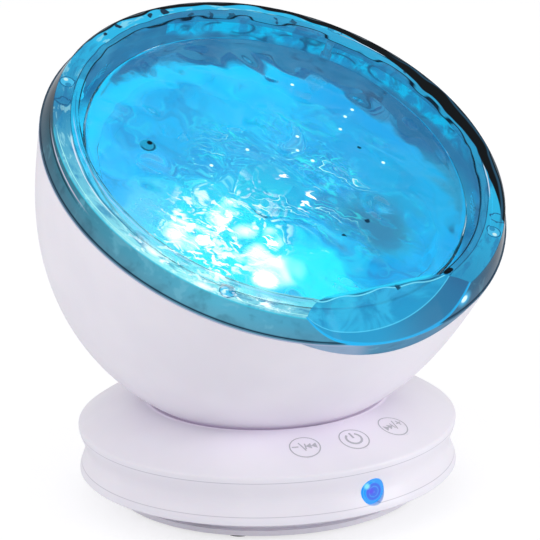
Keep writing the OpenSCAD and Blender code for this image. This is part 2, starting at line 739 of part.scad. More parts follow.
module base_top() {
  color("white") difference() {
    union() {
      rotate_extrude() top_outline();
      for (a = base_screw_angles) rotate([0, 0, a]) translate([base_screw_r0, 0, 0])
        rod(base_boss_r, flange_top, under_z(base_screw_r0) + boss_bite);
      for (a = touch_boss_angles) rotate([0, 0, a]) translate([touch_r0, 0, 0])
        rod(board_boss_r, touch_board_top, under_z(touch_r0) + boss_bite);
      for (a = main_boss_angles) rotate([0, 0, a]) translate([board_mid_r, 0, 0])
        rod(board_boss_r, main_board_top, under_z(board_mid_r) + boss_bite);
      for (i = [-1 : 1]) rotate([0, 0, -90 + i * touch_step]) translate([touch_r0, 0, 0])
        rod(touch_coil_r + 1.2, touch_spring_top, under_z(touch_r0) + boss_bite);
    }
    for (a = base_screw_angles) rotate([0, 0, a]) translate([base_screw_r0, 0, 0])
      rod(screw_r + pilot_gap, flange_z, flange_z + base_screw_l + hole_spare);
    for (a = touch_boss_angles) rotate([0, 0, a]) translate([touch_r0, 0, 0])
      rod(small_screw_r + pilot_gap, touch_board_z, touch_board_top + board_grip + hole_spare);
    for (a = main_boss_angles) rotate([0, 0, a]) translate([board_mid_r, 0, 0])
      rod(small_screw_r + pilot_gap, main_board_z, main_board_top + board_grip + hole_spare);
    translate([0, 0, ball_z]) post_slot();
  }
}

// The slot in the dish that the post swings through
module post_slot() {
  slot_r = post_r + slot_gap;
  reach = dish_out_r + 5;
  for (s = [-1, 1]) rotate([s * post_lean, 0, 0]) rod(slot_r, -reach, -50);
  intersection() {
    translate([-slot_r, -reach, -reach]) cube([2 * slot_r, 2 * reach, reach - 50]);
    rotate([90, 0, 90]) linear_extrude(height = 2 * slot_r + 2, center = true) polygon([
      [0, 0], 2 * reach * [sin(post_lean), -cos(post_lean)],
      2 * reach * [-sin(post_lean), -cos(post_lean)]]);
  }
}

module rubber_feet() {
  color("dimgray") for (a = corners) rotate([0, 0, a]) translate([foot_ring_r, 0, 0]) {
    rod(foot_r, foot_edge, foot_h + foot_recess);
    rod(foot_r - foot_edge, 0, foot_edge);
  }
}

module base_screws() {
  color("silver") for (a = base_screw_angles) rotate([0, 0, a])
    translate([base_screw_r0, 0, flange_z]) screw(screw_r, base_screw_l, screw_head_r, screw_head_t);
}

// The speaker lies face down on the grille
module speaker_frame() {
  neck = voice_r + cone_gap;
  rim_t = 1.2;
  seat_z = speaker_back_z - 1;
  color("dimgray") translate([-speaker_x, 0, 0]) rotate_extrude() polygon([
    [cone_r, floor_z], [speaker_r, floor_z], [speaker_r, floor_z + 1],
    [cone_r + 1.4, floor_z + rim_t], [magnet_r, seat_z], [magnet_r, speaker_back_z],
    [neck, speaker_back_z], [neck, seat_z], [magnet_r - speaker_wall, seat_z],
    [cone_r, floor_z + rim_t + speaker_wall]]);
}

module speaker_magnet() {
  plate_top = speaker_back_z + 1;
  color("silver") translate([-speaker_x, 0, 0]) {
    rod(magnet_r, plate_top, speaker_top_z);
    tube(magnet_r, voice_r + cone_gap, speaker_back_z, plate_top + eps);
    rod(voice_r - paper_t - cone_gap, speaker_back_z - 1.6, plate_top + eps);
  }
}

// The paper cone with its rolled edge, dust cap and voice coil
module speaker_cone() {
  edge_r = cone_r - cone_gap;
  z0 = floor_z + 1.2;
  roll_r = 1.2;
  roll = [edge_r - 0.9 - roll_r, z0];
  color("black") translate([-speaker_x, 0, 0]) rotate_extrude() polygon(concat(
    [[0, z0 + 1.9], [voice_r - paper_t, z0 + 2.3]],
    arc(roll, roll_r - 0.3, 180, 0, 8),
    [[edge_r, z0], [edge_r, z0 + 0.3]],
    arc(roll, roll_r, 15, 165, 8),
    [[voice_r, z0 + 2.9], [voice_r, z0 + 5.2], [voice_r - paper_t, z0 + 5.2],
      [voice_r - paper_t, z0 + 2.7], [0, z0 + 2.2]]));
}

module speaker_lead() {
  over = speaker_top_z + 2;
  color("crimson") lead([
    [-22, 33, main_board_top + fit_gap], [-22, 33, over], [-24, 14, over],
    [-speaker_x, 3, over], [-speaker_x, 3, speaker_top_z + fit_gap]]);
}

module main_board() {
  color("seagreen") difference() {
    arc_plate(board_in_r, board_out_r, 90, 80, main_board_z, main_board_top);
    for (a = main_boss_angles) rotate([0, 0, a]) translate([board_mid_r, 0, 0])
      rod(small_screw_r + fit_gap, 0, plate_z);
  }
}

// The power socket: a metal shell with its contact tongue
module usb_inlet() {
  depth = 6;
  tongue = [usb_w - 2, depth - 1, usb_h / 2 - 0.2];
  color("silver") translate([socket_x, socket_face_y - depth, usb_z]) difference() {
    translate([-usb_shell_w / 2, 0, -usb_shell_h / 2]) cube([usb_shell_w, depth, usb_shell_h]);
    difference() {
      translate([-usb_w / 2, usb_shell, -usb_h / 2]) cube([usb_w, depth, usb_h]);
      translate([-tongue[0] / 2, 0, -0.1]) cube(tongue);
    }
  }
}

module audio_jack() {
  color("black") translate([-socket_x, 0, audio_z]) difference() {
    union() {
      translate([-audio_body[0] / 2, socket_back_y - audio_body[1], -audio_body[2] / 2])
        cube(audio_body);
      rotate([-90, 0, 0]) rod(audio_nose_r, socket_back_y - eps, socket_face_y);
    }
    rotate([-90, 0, 0]) rod(audio_r, socket_face_y - audio_d, socket_face_y + cut_over);
  }
}

module touch_board() {
  color("seagreen") difference() {
    arc_plate(board_in_r, board_out_r, -90, 68, touch_board_z, touch_board_top);
    for (a = touch_boss_angles) rotate([0, 0, a]) translate([touch_r0, 0, 0])
      rod(small_screw_r + fit_gap, 0, plate_z);
  }
}

module touch_springs() {
  color("goldenrod") for (i = [-1 : 1]) rotate([0, 0, -90 + i * touch_step])
    translate([touch_r0, 0, touch_board_top])
      coil(touch_coil_r, touch_wire_r, touch_spring_h, touch_turns);
}

module board_screws() {
  color("silver") {
    for (a = touch_boss_angles) rotate([0, 0, a]) translate([touch_r0, 0, touch_board_z])
      screw(small_screw_r, touch_board_t + board_grip, small_head_r, small_head_t);
    for (a = main_boss_angles) rotate([0, 0, a]) translate([board_mid_r, 0, main_board_z])
      screw(small_screw_r, main_board_t + board_grip, small_head_r, small_head_t);
  }
}

module board_lead() {
  low = touch_board_z - 2;
  color("slategray") lead([
    [21, -33, touch_board_z - fit_gap], [21, -33, low], [33, -19, low], [38, 0, low],
    [33, 19, low + 1], [24, 30, low + 2], [22, 32.5, main_board_top + 2],
    [22, 32.5, main_board_top + fit_gap]]);
}

module indicator_led() {
  color("lightblue") {
    translate([0, 0, indicator_z]) rotate([90, 0, 0]) {
      rod(indicator_led_r, -led_face_y - 5.2, -led_face_y - 2);
      intersection() {
        translate([0, 0, -led_face_y - indicator_led_r]) sphere(r = indicator_led_r);
        rod(indicator_led_r, -led_face_y - 2 - eps, -led_face_y);
      }
      rod(indicator_led_r + 0.2, -led_face_y - 6, -led_face_y - 5.2 + eps);
    }
    for (x = [-1.25, 1.25]) translate([x - 0.25, led_face_y + 5.9, indicator_z - 0.25]) {
      cube([0.5, 2, 0.5]);
      translate([0, 1.5, 0]) cube([0.5, 0.5, touch_board_z - indicator_z + 0.25]);
    }
  }
}

module indicator_lens() {
  face = side_r(indicator_z) + indicator_out;
  color("dodgerblue") translate([0, 0, indicator_z]) rotate([90, 0, 0]) {
    rod(indicator_r, indicator_flange_y, face - 0.8);
    rod(indicator_r - 0.3, face - 0.9, face - 0.5);
    rod(indicator_r - 1, face - 0.6, face - 0.2);
    intersection() {
      translate([0, 0, face - 8]) sphere(r = 8);
      rod(indicator_r - 1.4, face - 0.6, face);
    }
    intersection() {
      rod(indicator_flange_r, indicator_flange_y, indicator_flange_y + indicator_flange_t);
      translate([-base_r, flange_top + fit_gap - indicator_z, 0])
        cube([2 * base_r, 2 * indicator_flange_r, base_r]);
    }
  }
}

module bowl_shell() {
  color("white") in_head() difference() {
    union() {
      difference() {
        rotate_extrude() polygon(concat(bowl_pts(0), [[0, rim_h]]));
        rotate_extrude() bowl_cavity(bowl_wall);
      }
      intersection() {
        rotate_extrude() bowl_cavity(bowl_wall - 0.5);
        union() {
          for (a = corners) rotate([0, 0, a]) translate([tray_screw_r0, 0, 0])
            rod(boss_r, -ball_r, tray_seat_h);
          rotate([180 - post_lean, 0, 0]) rod(post_flange_r + 1, post_seat, ball_r);
        }
      }
    }
    for (a = corners) rotate([0, 0, a]) translate([tray_screw_r0, 0, 0])
      rod(screw_r + pilot_gap, tray_seat_h - tray_grip - hole_spare, tray_seat_h + cut_over);
    rotate([180 - post_lean, 0, 0]) {
      rod(post_r + fit_gap, post_seat - cut_over, ball_r + cut_over);
      for (a = post_screw_angles) rotate([0, 0, a]) translate([post_screw_r0, 0, 0])
        rod(small_screw_r + pilot_gap, post_seat - cut_over, post_seat + post_grip + hole_spare);
    }
    dip();
  }
}

// The space inside the bowl, inset by t from its outside
module bowl_cavity(t) {
  inner = bowl_pts(t);
  last = inner[len(inner) - 1];
  polygon(concat(inner, [[last[0], rim_h + 1], [0, rim_h + 1]]));
}

// The cylinder that dips the rim at the front
module dip() {
  translate([0, 0, rim_h - dip_d + dip_r]) rotate([90, 0, 0]) rod(dip_r, 0, rim_r + 2);
}

module tilt_post() {
  color("silver") on_post() difference() {
    union() {
      rod(post_flange_r, post_seat - post_flange_t, post_seat);
      rod(post_r, post_seat - eps, post_end);
    }
    rod(post_bore_r, post_seat - post_flange_t - cut_over, post_end + cut_over);
    for (a = post_screw_angles) rotate([0, 0, a]) translate([post_screw_r0, 0, 0])
      rod(small_screw_r + fit_gap, post_seat - post_flange_t - cut_over, post_seat + cut_over);
  }
}

module post_screws() {
  color("dimgray") on_post() for (a = post_screw_angles) rotate([0, 0, a])
    translate([post_screw_r0, 0, post_seat - post_flange_t])
      screw(small_screw_r, post_flange_t + post_grip, small_head_r, small_head_t);
}

module clamp_saddle() {
  color("gray") on_post() difference() {
    intersection() {
      difference() {
        sphere(r = saddle_out);
        sphere(r = saddle_in);
      }
      rod(saddle_r, dish_r, saddle_out + cut_over);
    }
    rod(post_r + pilot_gap, dish_r - cut_over, saddle_out + cut_over);
  }
}

module clamp_spring() {
  color("silver") on_post() translate([0, 0, saddle_out + 0.02])
    coil(clamp_coil_r, clamp_wire_r, washer_in - saddle_out - 0.04, clamp_turns);
}

module clamp_washer() {
  color("silver") on_post() tube(washer_r, post_r + pilot_gap, washer_in, nut_in);
}

module clamp_nut() {
  color("goldenrod") on_post() difference() {
    translate([0, 0, nut_in]) cylinder(r = nut_r, h = nut_t, $fn = 6);
    rod(post_r + pilot_gap, nut_in - cut_over, nut_in + nut_t + cut_over);
  }
}

module lamp_tray() {
  flange_h = tray_seat_h + tray_flange_t;
  edge_r = bowl_r(tray_seat_h) - bowl_wall - 0.4;
  color("white") in_head() difference() {
    union() {
      rotate_extrude() polygon([
        [0, well_floor_h], [well_floor_r, well_floor_h], [well_r, flange_h], [edge_r, flange_h],
        [edge_r, tray_seat_h], [well_r + tray_wall, tray_seat_h],
        [well_floor_r + tray_wall, tray_low_h], [0, tray_low_h]]);
      for (p = pillars) translate(p) rod(pillar_r, gear_plate_h, tray_low_h + eps);
    }
    for (a = corners) rotate([0, 0, a]) translate([tray_screw_r0, 0, 0])
      rod(screw_r + fit_gap, 0, flange_h + cut_over);
    for (p = pillars) translate(p)
      rod(screw_r + pilot_gap, gear_plate_h - cut_over, gearbox_screw_top + 0.4);
    for (i = [0 : led_count - 1]) rotate([0, 0, 360 * (i + 0.5) / led_count])
      translate([led_ring_r, 0, 0])
        rod(led_r + led_gap, tray_low_h - cut_over, well_floor_h + cut_over);
    rod(hub_r, tray_low_h - cut_over, well_floor_h + cut_over);
  }
}

module tray_screws() {
  color("silver") in_head() for (a = corners) rotate([0, 0, a])
    translate([tray_screw_r0, 0, tray_seat_h + tray_flange_t]) mirror([0, 0, 1])
      screw(screw_r, tray_flange_t + tray_grip, screw_head_r, screw_head_t);
}

module led_board() {
  color("whitesmoke") in_head() difference() {
    rod(led_board_r, board_top_h - led_board_t, board_top_h);
    rod(hub_r + 1, board_top_h - led_board_t - cut_over, board_top_h + cut_over);
    for (p = pillars) translate(p)
      rod(pillar_r + 0.3, board_top_h - led_board_t - cut_over, board_top_h + cut_over);
  }
}

module leds() {
  color("lightcyan") in_head() for (i = [0 : led_count - 1]) rotate([0, 0, 360 * (i + 0.5) / led_count])
    translate([led_ring_r, 0, board_top_h]) {
      rod(led_r, 0, led_t);
      translate([0, 0, led_t]) intersection() {
        sphere(r = led_dome_r);
        rod(led_dome_r + 1, -0.5, led_dome_r + 1);
      }
    }
}

module gear_plate() {
  color("ivory") in_head() difference() {
    translate([0, 0, gear_plate_low]) linear_extrude(height = gear_plate_t) drive_outline();
    rod(spindle_r + run, motor_plate_low, 0);
    translate(compound_pos) rod(gear_pin_r + snug, motor_plate_low, 0);
    for (p = pillars) translate(p) rod(screw_r + fit_gap, motor_plate_low, 0);
  }
}

module motor_plate() {
  color("ivory") in_head() difference() {
    union() {
      translate([0, 0, motor_plate_low]) linear_extrude(height = gear_plate_t) drive_outline();
      translate(motor_pos) rod(motor_screw_r0 + 2.6, motor_plate_low, motor_plate_h);
      for (p = pillars) translate(p) rod(pillar_r, motor_plate_low, gear_plate_low);
    }
    rod(spindle_r + run, motor_plate_low - cut_over, 0);
    translate(compound_pos) rod(gear_pin_r + snug, motor_plate_low - cut_over, 0);
    translate(motor_pos) rod(motor_boss_r + fit_gap, motor_plate_low - cut_over, 0);
    for (p = pillars) translate(p) rod(screw_r + fit_gap, motor_plate_low - cut_over, 0);
    motor_screw_places() rod(small_screw_r + fit_gap, motor_plate_low - cut_over, 0);
  }
}

module motor_screw_places() {
  for (s = [-1, 1]) translate(motor_pos) rotate([0, 0, motor_dir + 90 * s])
    translate([motor_screw_r0, 0, 0]) children();
}

module gearbox_screws() {
  color("silver") in_head() for (p = pillars) translate(concat(p, motor_plate_low))
    screw(screw_r, gearbox_screw_top - motor_plate_low, screw_head_r, screw_head_t);
}

module motor() {
  color("lightgray") in_head() difference() {
    translate(motor_pos) {
      rod(motor_r, motor_top - motor_h, motor_top);
      rod(motor_boss_r, motor_top - eps, motor_plate_h - 0.3);
      rod(motor_r - 2, motor_top - motor_h - 1.2, motor_top - motor_h + eps);
    }
    translate(motor_pos) rod(motor_shaft_r + run, motor_top - shaft_in - end_play, motor_plate_h + cut_over);
    motor_screw_places() rod(small_screw_r + pilot_gap, motor_plate_low - motor_grip - hole_spare, 0);
  }
}

module motor_screws() {
  color("silver") in_head() motor_screw_places() translate([0, 0, motor_plate_h]) mirror([0, 0, 1])
    screw(small_screw_r, gear_plate_t + motor_grip, small_head_r - 0.2, small_head_t - 0.3);
}

module motor_shaft() {
  color("silver") in_head() translate(motor_pos)
    rod(motor_shaft_r, motor_top - shaft_in, lower_gear_h + gear_w + gear_gap / 2);
}

module motor_pinion() {
  color("ivory") in_head() difference() {
    translate(concat(motor_pos, lower_gear_h)) gear(pinion_teeth, motor_dir + 180);
    translate(motor_pos) rod(motor_shaft_r + snug, motor_plate_low, 0);
  }
}

module gear_pin() {
  color("silver") in_head() translate(compound_pos) rod(gear_pin_r, motor_plate_low, gear_plate_h);
}

module compound_gear() {
  color("ivory") in_head() difference() {
    translate(concat(compound_pos, 0)) {
      translate([0, 0, lower_gear_h]) gear(wheel_teeth, motor_dir + 180 / wheel_teeth);
      translate([0, 0, upper_gear_h]) gear(small_teeth, -90);
      rod(gear_hub_r, hub_low_h, hub_top_h);
      rod(gear_hub_r + gear_gap, lower_gear_h, upper_gear_h + eps);
    }
    translate(compound_pos) rod(gear_pin_r + run, hub_low_h - cut_over, 0);
  }
}

module disc_gear() {
  color("ivory") in_head() difference() {
    union() {
      translate([0, 0, upper_gear_h]) gear(disc_teeth, 90 + 180 / disc_teeth);
      rod(gear_hub_r + 2, hub_low_h, hub_top_h);
    }
    rod(spindle_r + snug, hub_low_h - cut_over, 0);
    for (a = [0 : 60 : 300]) rotate([0, 0, a]) translate([0.58 * pitch_r(disc_teeth), 0, 0])
      rod(0.2 * pitch_r(disc_teeth), upper_gear_h - cut_over, hub_top_h);
  }
}

module disc_spindle() {
  color("silver") in_head() rod(spindle_r, motor_plate_low + end_play, disc_h + disc_t + cap_t / 2);
}

module disc_hub() {
  color("ivory") in_head() difference() {
    union() {
      rod(hub_r - led_gap, well_floor_h + led_gap, disc_h);
      rod(hub_flange_r, disc_h - hub_flange_t, disc_h);
      rod(disc_hole_r - fit_gap, disc_h - eps, disc_h + disc_t - fit_gap);
    }
    rod(spindle_r + snug, 0, disc_h + disc_t + cut_over);
  }
}

module wave_disc() {
  color("lightblue") in_head() translate([0, 0, disc_h])
    rippled_plate(disc_hole_r, disc_r, disc_t, 14, 60, 25);
}

module disc_cap() {
  color("ivory") in_head() difference() {
    rod(cap_r, disc_h + disc_t, disc_h + disc_t + cap_t);
    rod(spindle_r + snug, 0, disc_h + disc_t + cap_t / 2 + fit_gap);
  }
}

module motor_lead() {
  x = motor_pos[0] - motor_r - 5;
  y = motor_pos[1];
  z = motor_top - motor_h + 5;
  board = board_top_h - led_board_t;
  color("crimson") in_head() lead([[x, y, board - fit_gap], [x, y, z], [x + 5 - fit_gap, y, z]]);
}

module lens_ring() {
  low = ring_seat_h - lens_ring_h;
  color("lightblue") in_head() difference() {
    union() {
      ring(lens_ring_r, lens_seat_r, low, ring_seat_h);
      ring(lens_ring_r, lens_seat_r - ledge_w, low, low + ledge_t);
      for (a = corners) rotate([0, 0, a]) translate([clip_post_r0, 0, 0])
        rod(clip_post_r + 0.8, ring_seat_h - ear_t, ring_seat_h);
    }
    for (a = corners) rotate([0, 0, a]) translate([clip_post_r0, 0, 0])
      rod(lens_screw_r + fit_gap, low, ring_seat_h + cut_over);
    rod(lens_seat_r, low + ledge_t, ring_seat_h + cut_over);
  }
}

module ripple_lens() {
  color("lightblue") in_head() translate([0, 0, ring_seat_h - lens_ring_h + ledge_t])
    rippled_plate(0, lens_r, lens_t, 17, 60, 0);
}

module lens_screws() {
  color("silver") in_head() for (a = corners) rotate([0, 0, a])
    translate([clip_post_r0, 0, ring_seat_h - ear_t])
      screw(lens_screw_r, ear_t + lens_screw_grip, lens_head_r, small_head_t);
}

// The scooped facet: a flat with round ends, drawn out along its slope
module scoop(drop) {
  ends = arc([0, scoop_end_r], scoop_end_r, -90, -20, 10);
  half = [for (p = ends) p + [scoop_w, 0]];
  outline = concat(half, [for (i = [len(half) - 1 : -1 : 0]) [-half[i][0], half[i][1]]]);
  translate([0, -scoop_y, cover_h]) rotate([scoop_a, 0, 0]) translate([0, 0, -drop])
    rotate([90, 0, 0]) translate([0, 0, -scoop_up]) linear_extrude(height = scoop_long) polygon(outline);
}

// The top of the window at radius r
function window_h(r) = cover_h - window_drop + window_rise * (1 - pow(r / rib_in_r, 2));

module cover_lens() {
  low_h = rim_h - dip_d - 1;
  color("skyblue", 0.5) in_head() difference() {
    union() {
      intersection() {
        rotate_extrude() polygon(concat(
          [[0, low_h]],
          [for (i = [0 : 6]) let (h = low_h + (rim_h - low_h) * i / 6) [bowl_r(h), h]],
          [[rim_r, rim_h + lip_h], [rim_r - lip_step, rim_h + lip_h],
            [band_top_r, cover_h - cover_edge], [band_top_r - cover_edge, cover_h],
            [rib_out_r, cover_h], [rib_out_r - 0.3, cover_h + rib_h],
            [rib_in_r + 0.3, cover_h + rib_h]],
          [for (i = [0 : 14]) let (r = rib_in_r * (1 - i / 14)) [r, window_h(r)]]));
        union() {
          rod(rim_r + 2, rim_h + seam, cover_h + 10);
          translate([0, 0, seam]) dip();
        }
      }
      rod(cover_in_r + spigot_wall, rim_h - spigot_h, rim_h + 1);
    }
    difference() {
      cover_cavity();
      scoop(cover_wall);
      for (a = corners) rotate([0, 0, a]) translate([clip_post_r0, 0, 0])
        rod(clip_post_r, ring_seat_h, cover_h);
    }
    scoop(0);
    for (a = corners) rotate([0, 0, a]) translate([clip_post_r0, 0, 0])
      rod(lens_screw_r + pilot_gap, ring_seat_h - cut_over,
        ring_seat_h + lens_screw_grip + hole_spare);
  }
}

// The space under the cover
module cover_cavity() {
  rotate_extrude() polygon(concat(
    [[0, rim_h - dip_d - 2], [cover_in_r, rim_h - dip_d - 2], [cover_in_r, cover_h - cover_wall - 0.5],
      [cover_in_r - 0.5, cover_h - cover_wall], [rib_in_r, cover_h - cover_wall]],
    [for (i = [1 : 10]) let (r = rib_in_r * (1 - i / 10)) [r, window_h(r) + window_drop - cover_wall]]));
}

base_bottom();
base_ring();
base_top();
rubber_feet();
base_screws();
speaker_frame();
speaker_magnet();
speaker_cone();
speaker_lead();
main_board();
usb_inlet();
audio_jack();
touch_board();
touch_springs();
board_screws();
board_lead();
indicator_led();
indicator_lens();
bowl_shell();
tilt_post();
post_screws();
clamp_saddle();
clamp_spring();
clamp_washer();
clamp_nut();
motor_plate();
motor();
motor_screws();
motor_shaft();
motor_pinion();
gear_pin();
compound_gear();
disc_spindle();
disc_gear();
gear_plate();
gearbox_screws();
motor_lead();
led_board();
leds();
lamp_tray();
tray_screws();
disc_hub();
wave_disc();
disc_cap();
lens_ring();
ripple_lens();
lens_screws();
cover_lens();
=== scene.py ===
from math import cos, pi, radians, sin

import bmesh
import bpy
import numpy as np
from mathutils import Matrix, Vector


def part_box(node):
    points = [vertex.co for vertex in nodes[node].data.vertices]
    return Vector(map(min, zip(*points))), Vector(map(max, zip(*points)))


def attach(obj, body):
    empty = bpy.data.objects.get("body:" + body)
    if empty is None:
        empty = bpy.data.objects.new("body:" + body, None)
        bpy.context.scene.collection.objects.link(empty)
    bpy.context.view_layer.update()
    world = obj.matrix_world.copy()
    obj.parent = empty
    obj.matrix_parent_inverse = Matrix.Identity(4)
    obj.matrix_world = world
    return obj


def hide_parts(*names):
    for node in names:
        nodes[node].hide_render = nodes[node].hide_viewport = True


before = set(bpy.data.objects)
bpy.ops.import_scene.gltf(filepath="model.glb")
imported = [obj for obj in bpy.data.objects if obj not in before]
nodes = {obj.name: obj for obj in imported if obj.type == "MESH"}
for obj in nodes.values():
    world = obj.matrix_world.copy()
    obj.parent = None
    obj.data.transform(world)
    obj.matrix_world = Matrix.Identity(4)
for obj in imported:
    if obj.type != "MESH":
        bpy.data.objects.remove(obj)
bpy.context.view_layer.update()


# The table top and the studio. A pale matt table under an even white sky, with a soft lamp at the
# front right and a weaker one on the left, so the white plastic shades gently.
def tone(code, strength=1.0):
    """A colour written as on a screen, RRGGBB, turned into linear light."""
    c = np.array([int(code[i : i + 2], 16) for i in (0, 2, 4)]) / 255
    c = np.where(c <= 0.04045, c / 12.92, ((c + 0.055) / 1.055) ** 2.4) * strength
    return (*[float(v) for v in c], 1.0)


class Finish:
    """A finish being mixed: each call adds one shader node and gives back its output."""

    def __init__(self, name, color="FFFFFF", roughness=0.5, tree=None, **sockets):
        if tree is None:
            self.material = bpy.data.materials.new(name)
            self.material.use_nodes = True
            tree = self.material.node_tree
            self.shader = tree.nodes["Principled BSDF"]
            self.set(**{"Base Color": tone(color), "Roughness": roughness}, **sockets)
        self.tree = tree

    def set(self, **sockets):
        for name, value in sockets.items():
            socket = self.shader.inputs[name.replace("_", " ")]
            if isinstance(value, bpy.types.NodeSocket):
                self.tree.links.new(value, socket)
            else:
                socket.default_value = value

    def add(self, kind, inputs=(), **props):
        node = self.tree.nodes.new(kind)
        for name, value in props.items():
            setattr(node, name, value)
        for key, value in dict(inputs).items():
            if isinstance(value, bpy.types.NodeSocket):
                self.tree.links.new(value, node.inputs[key])
            elif value is not None:
                node.inputs[key].default_value = value
        return node

    def math(self, how, a, b=None, c=None):
        return self.add("ShaderNodeMath", {0: a, 1: b, 2: c}, operation=how).outputs[0]

    def times(self, *values):
        """The product of the values, each a number or an output."""
        total = values[0]
        for value in values[1:]:
            total = self.math("MULTIPLY", total, value)
        return total

    def most(self, *values):
        """The highest of the values, each a number or an output."""
        total = values[0]
        for value in values[1:]:
            total = self.math("MAXIMUM", total, value)
        return total

    def between(self, value, low, high, to=(0.0, 1.0), soft=True):
        """value carried from low..high to the range to, held at its ends."""
        return self.add("ShaderNodeMapRange", {0: value, 1: low, 2: high, 3: to[0], 4: to[1]},
                        interpolation_type="SMOOTHSTEP" if soft else "LINEAR").outputs[0]

    def line(self, value, at, width, soft=0.5):
        """A line drawn where value is at: 1 on it, 0 beyond half its width plus soft."""
        off = self.math("ABSOLUTE", self.math("SUBTRACT", value, at))
        return self.between(off, width / 2 + soft, max(width / 2 - soft, 0.0))

    def mix(self, share, a, b):
        return self.add("ShaderNodeMix", {0: share, 6: a, 7: b}, data_type="RGBA").outputs[2]

    def ramp(self, value, *stops):
        node = self.add("ShaderNodeValToRGB", {0: value})
        marks = node.color_ramp.elements
        while len(marks) < len(stops):
            marks.new(0.5)
        for mark, (at, color) in zip(marks, stops):
            mark.position, mark.color = at, color
        return node.outputs[0]

    def place(self):
        return self.add("ShaderNodeTexCoord").outputs["Object"]

    def axes(self):
        """The place's parts along X, Y and Z, in metres."""
        return list(self.add("ShaderNodeSeparateXYZ", {0: self.place()}).outputs)

    def length(self, a, b):
        """The length of a step that goes a one way and b across it."""
        squares = self.math("POWER", a, 2.0), self.math("POWER", b, 2.0)
        return self.math("SQRT", self.math("ADD", *squares))

    def noise(self, place, scale, detail=2.0, rough=0.5, bend=0.0):
        return self.add("ShaderNodeTexNoise", {"Vector": place, "Scale": scale, "Detail": detail,
                                               "Roughness": rough, "Distortion": bend}).outputs[0]

    def relief(self, height, depth, strength):
        node = self.add("ShaderNodeBump", {"Height": height, "Distance": depth, "Strength": strength})
        self.set(Normal=node.outputs[0])


def put_mesh(name, points, faces, finish, body=None):
    """A mesh from an array of points and arrays of faces, all corners in one order."""
    mesh = bpy.data.meshes.new(name)
    mesh.from_pydata(np.asarray(points, float).tolist(), [], [list(map(int, f)) for f in faces])
    mesh.update()
    mesh.polygons.foreach_set("use_smooth", np.full(len(mesh.polygons), True))
    obj = bpy.data.objects.new(name, mesh)
    bpy.context.scene.collection.objects.link(obj)
    mesh.materials.append(finish.material)
    if body:
        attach(obj, body)
    return obj


floor_finish = Finish("floor", "F6F6F8", 0.9, **{"Emission Color": (1, 1, 1, 1)})
ray = floor_finish.add("ShaderNodeLightPath").outputs
seen = floor_finish.math("MAXIMUM", ray["Is Camera Ray"], ray["Is Transmission Ray"])
floor_finish.set(**{"Base Color": floor_finish.mix(seen, tone("F6F6F8"), tone("A6A6AA")),
                    "Emission Strength": floor_finish.math("MULTIPLY", seen, 0.68)})
floor_half = 2
floor_corners = [(u * floor_half, v * floor_half, 0) for u, v in ((-1, -1), (1, -1), (1, 1), (-1, 1))]
floor = put_mesh("floor", floor_corners, [(0, 1, 2, 3)], floor_finish)

sky = bpy.data.worlds.new("sky")
bpy.context.scene.world = sky
sky.use_nodes = True
sky_nodes, sky_links = sky.node_tree.nodes, sky.node_tree.links
sky_light = sky_nodes["Background"]
ray = sky_nodes.new("ShaderNodeLightPath")
seen = sky_nodes.new("ShaderNodeMath")
seen.operation = "MAXIMUM"
sky_links.new(ray.outputs["Is Camera Ray"], seen.inputs[0])
sky_links.new(ray.outputs["Is Transmission Ray"], seen.inputs[1])
level = sky_nodes.new("ShaderNodeMix")
level.inputs[2].default_value = 0.72
level.inputs[3].default_value = 1.0
sky_links.new(seen.outputs[0], level.inputs[0])
sky_links.new(level.outputs[0], sky_light.inputs["Strength"])
sky_light.inputs["Color"].default_value = (1, 1, 1, 1)

lamp_aim = Vector((0, 0, 0.06))
for name, spot, size, power in (("key", (0.7, -0.95, 0.36), 0.7, 4.7),
                                ("fill", (-0.7, 0.1, 0.5), 0.6, 1.4)):
    lamp = bpy.data.lights.new(name, "AREA")
    lamp.energy, lamp.size = power, size
    holder = bpy.data.objects.new(name, lamp)
    bpy.context.scene.collection.objects.link(holder)
    holder.location = spot
    holder.rotation_euler = (Vector(spot) - lamp_aim).to_track_quat("Z", "Y").to_euler()

# The camera, with a long lens, from the front left and a little above. The focal length is in
# pixels of a frame 540 wide, and the place that the camera looks at is in metres.
view_turn, view_rise, view_roll = radians(-32.93), radians(15.96), radians(-1.40)
focal, frame_w, film_w, stand_off = 2933.98, 540, 36, 0.8
aim_right, aim_high = 0.00181, 0.06177
back = Vector((sin(view_turn) * cos(view_rise), -cos(view_turn) * cos(view_rise), sin(view_rise)))
right = Vector((cos(view_turn), sin(view_turn), 0))
up = back.cross(right)
across = cos(view_roll) * right + sin(view_roll) * up
rising = -sin(view_roll) * right + cos(view_roll) * up
camera = bpy.data.objects.new("camera", bpy.data.cameras.new("camera"))
bpy.context.scene.collection.objects.link(camera)
camera.data.lens, camera.data.sensor_width = focal * film_w / frame_w, film_w
camera.matrix_world = Matrix((across, rising, back)).transposed().to_4x4()
camera.matrix_world.translation = right * aim_right + Vector((0, 0, aim_high)) + back * stand_off
bpy.context.scene.camera = camera
view = bpy.context.scene.view_settings
view.view_transform = "Standard"


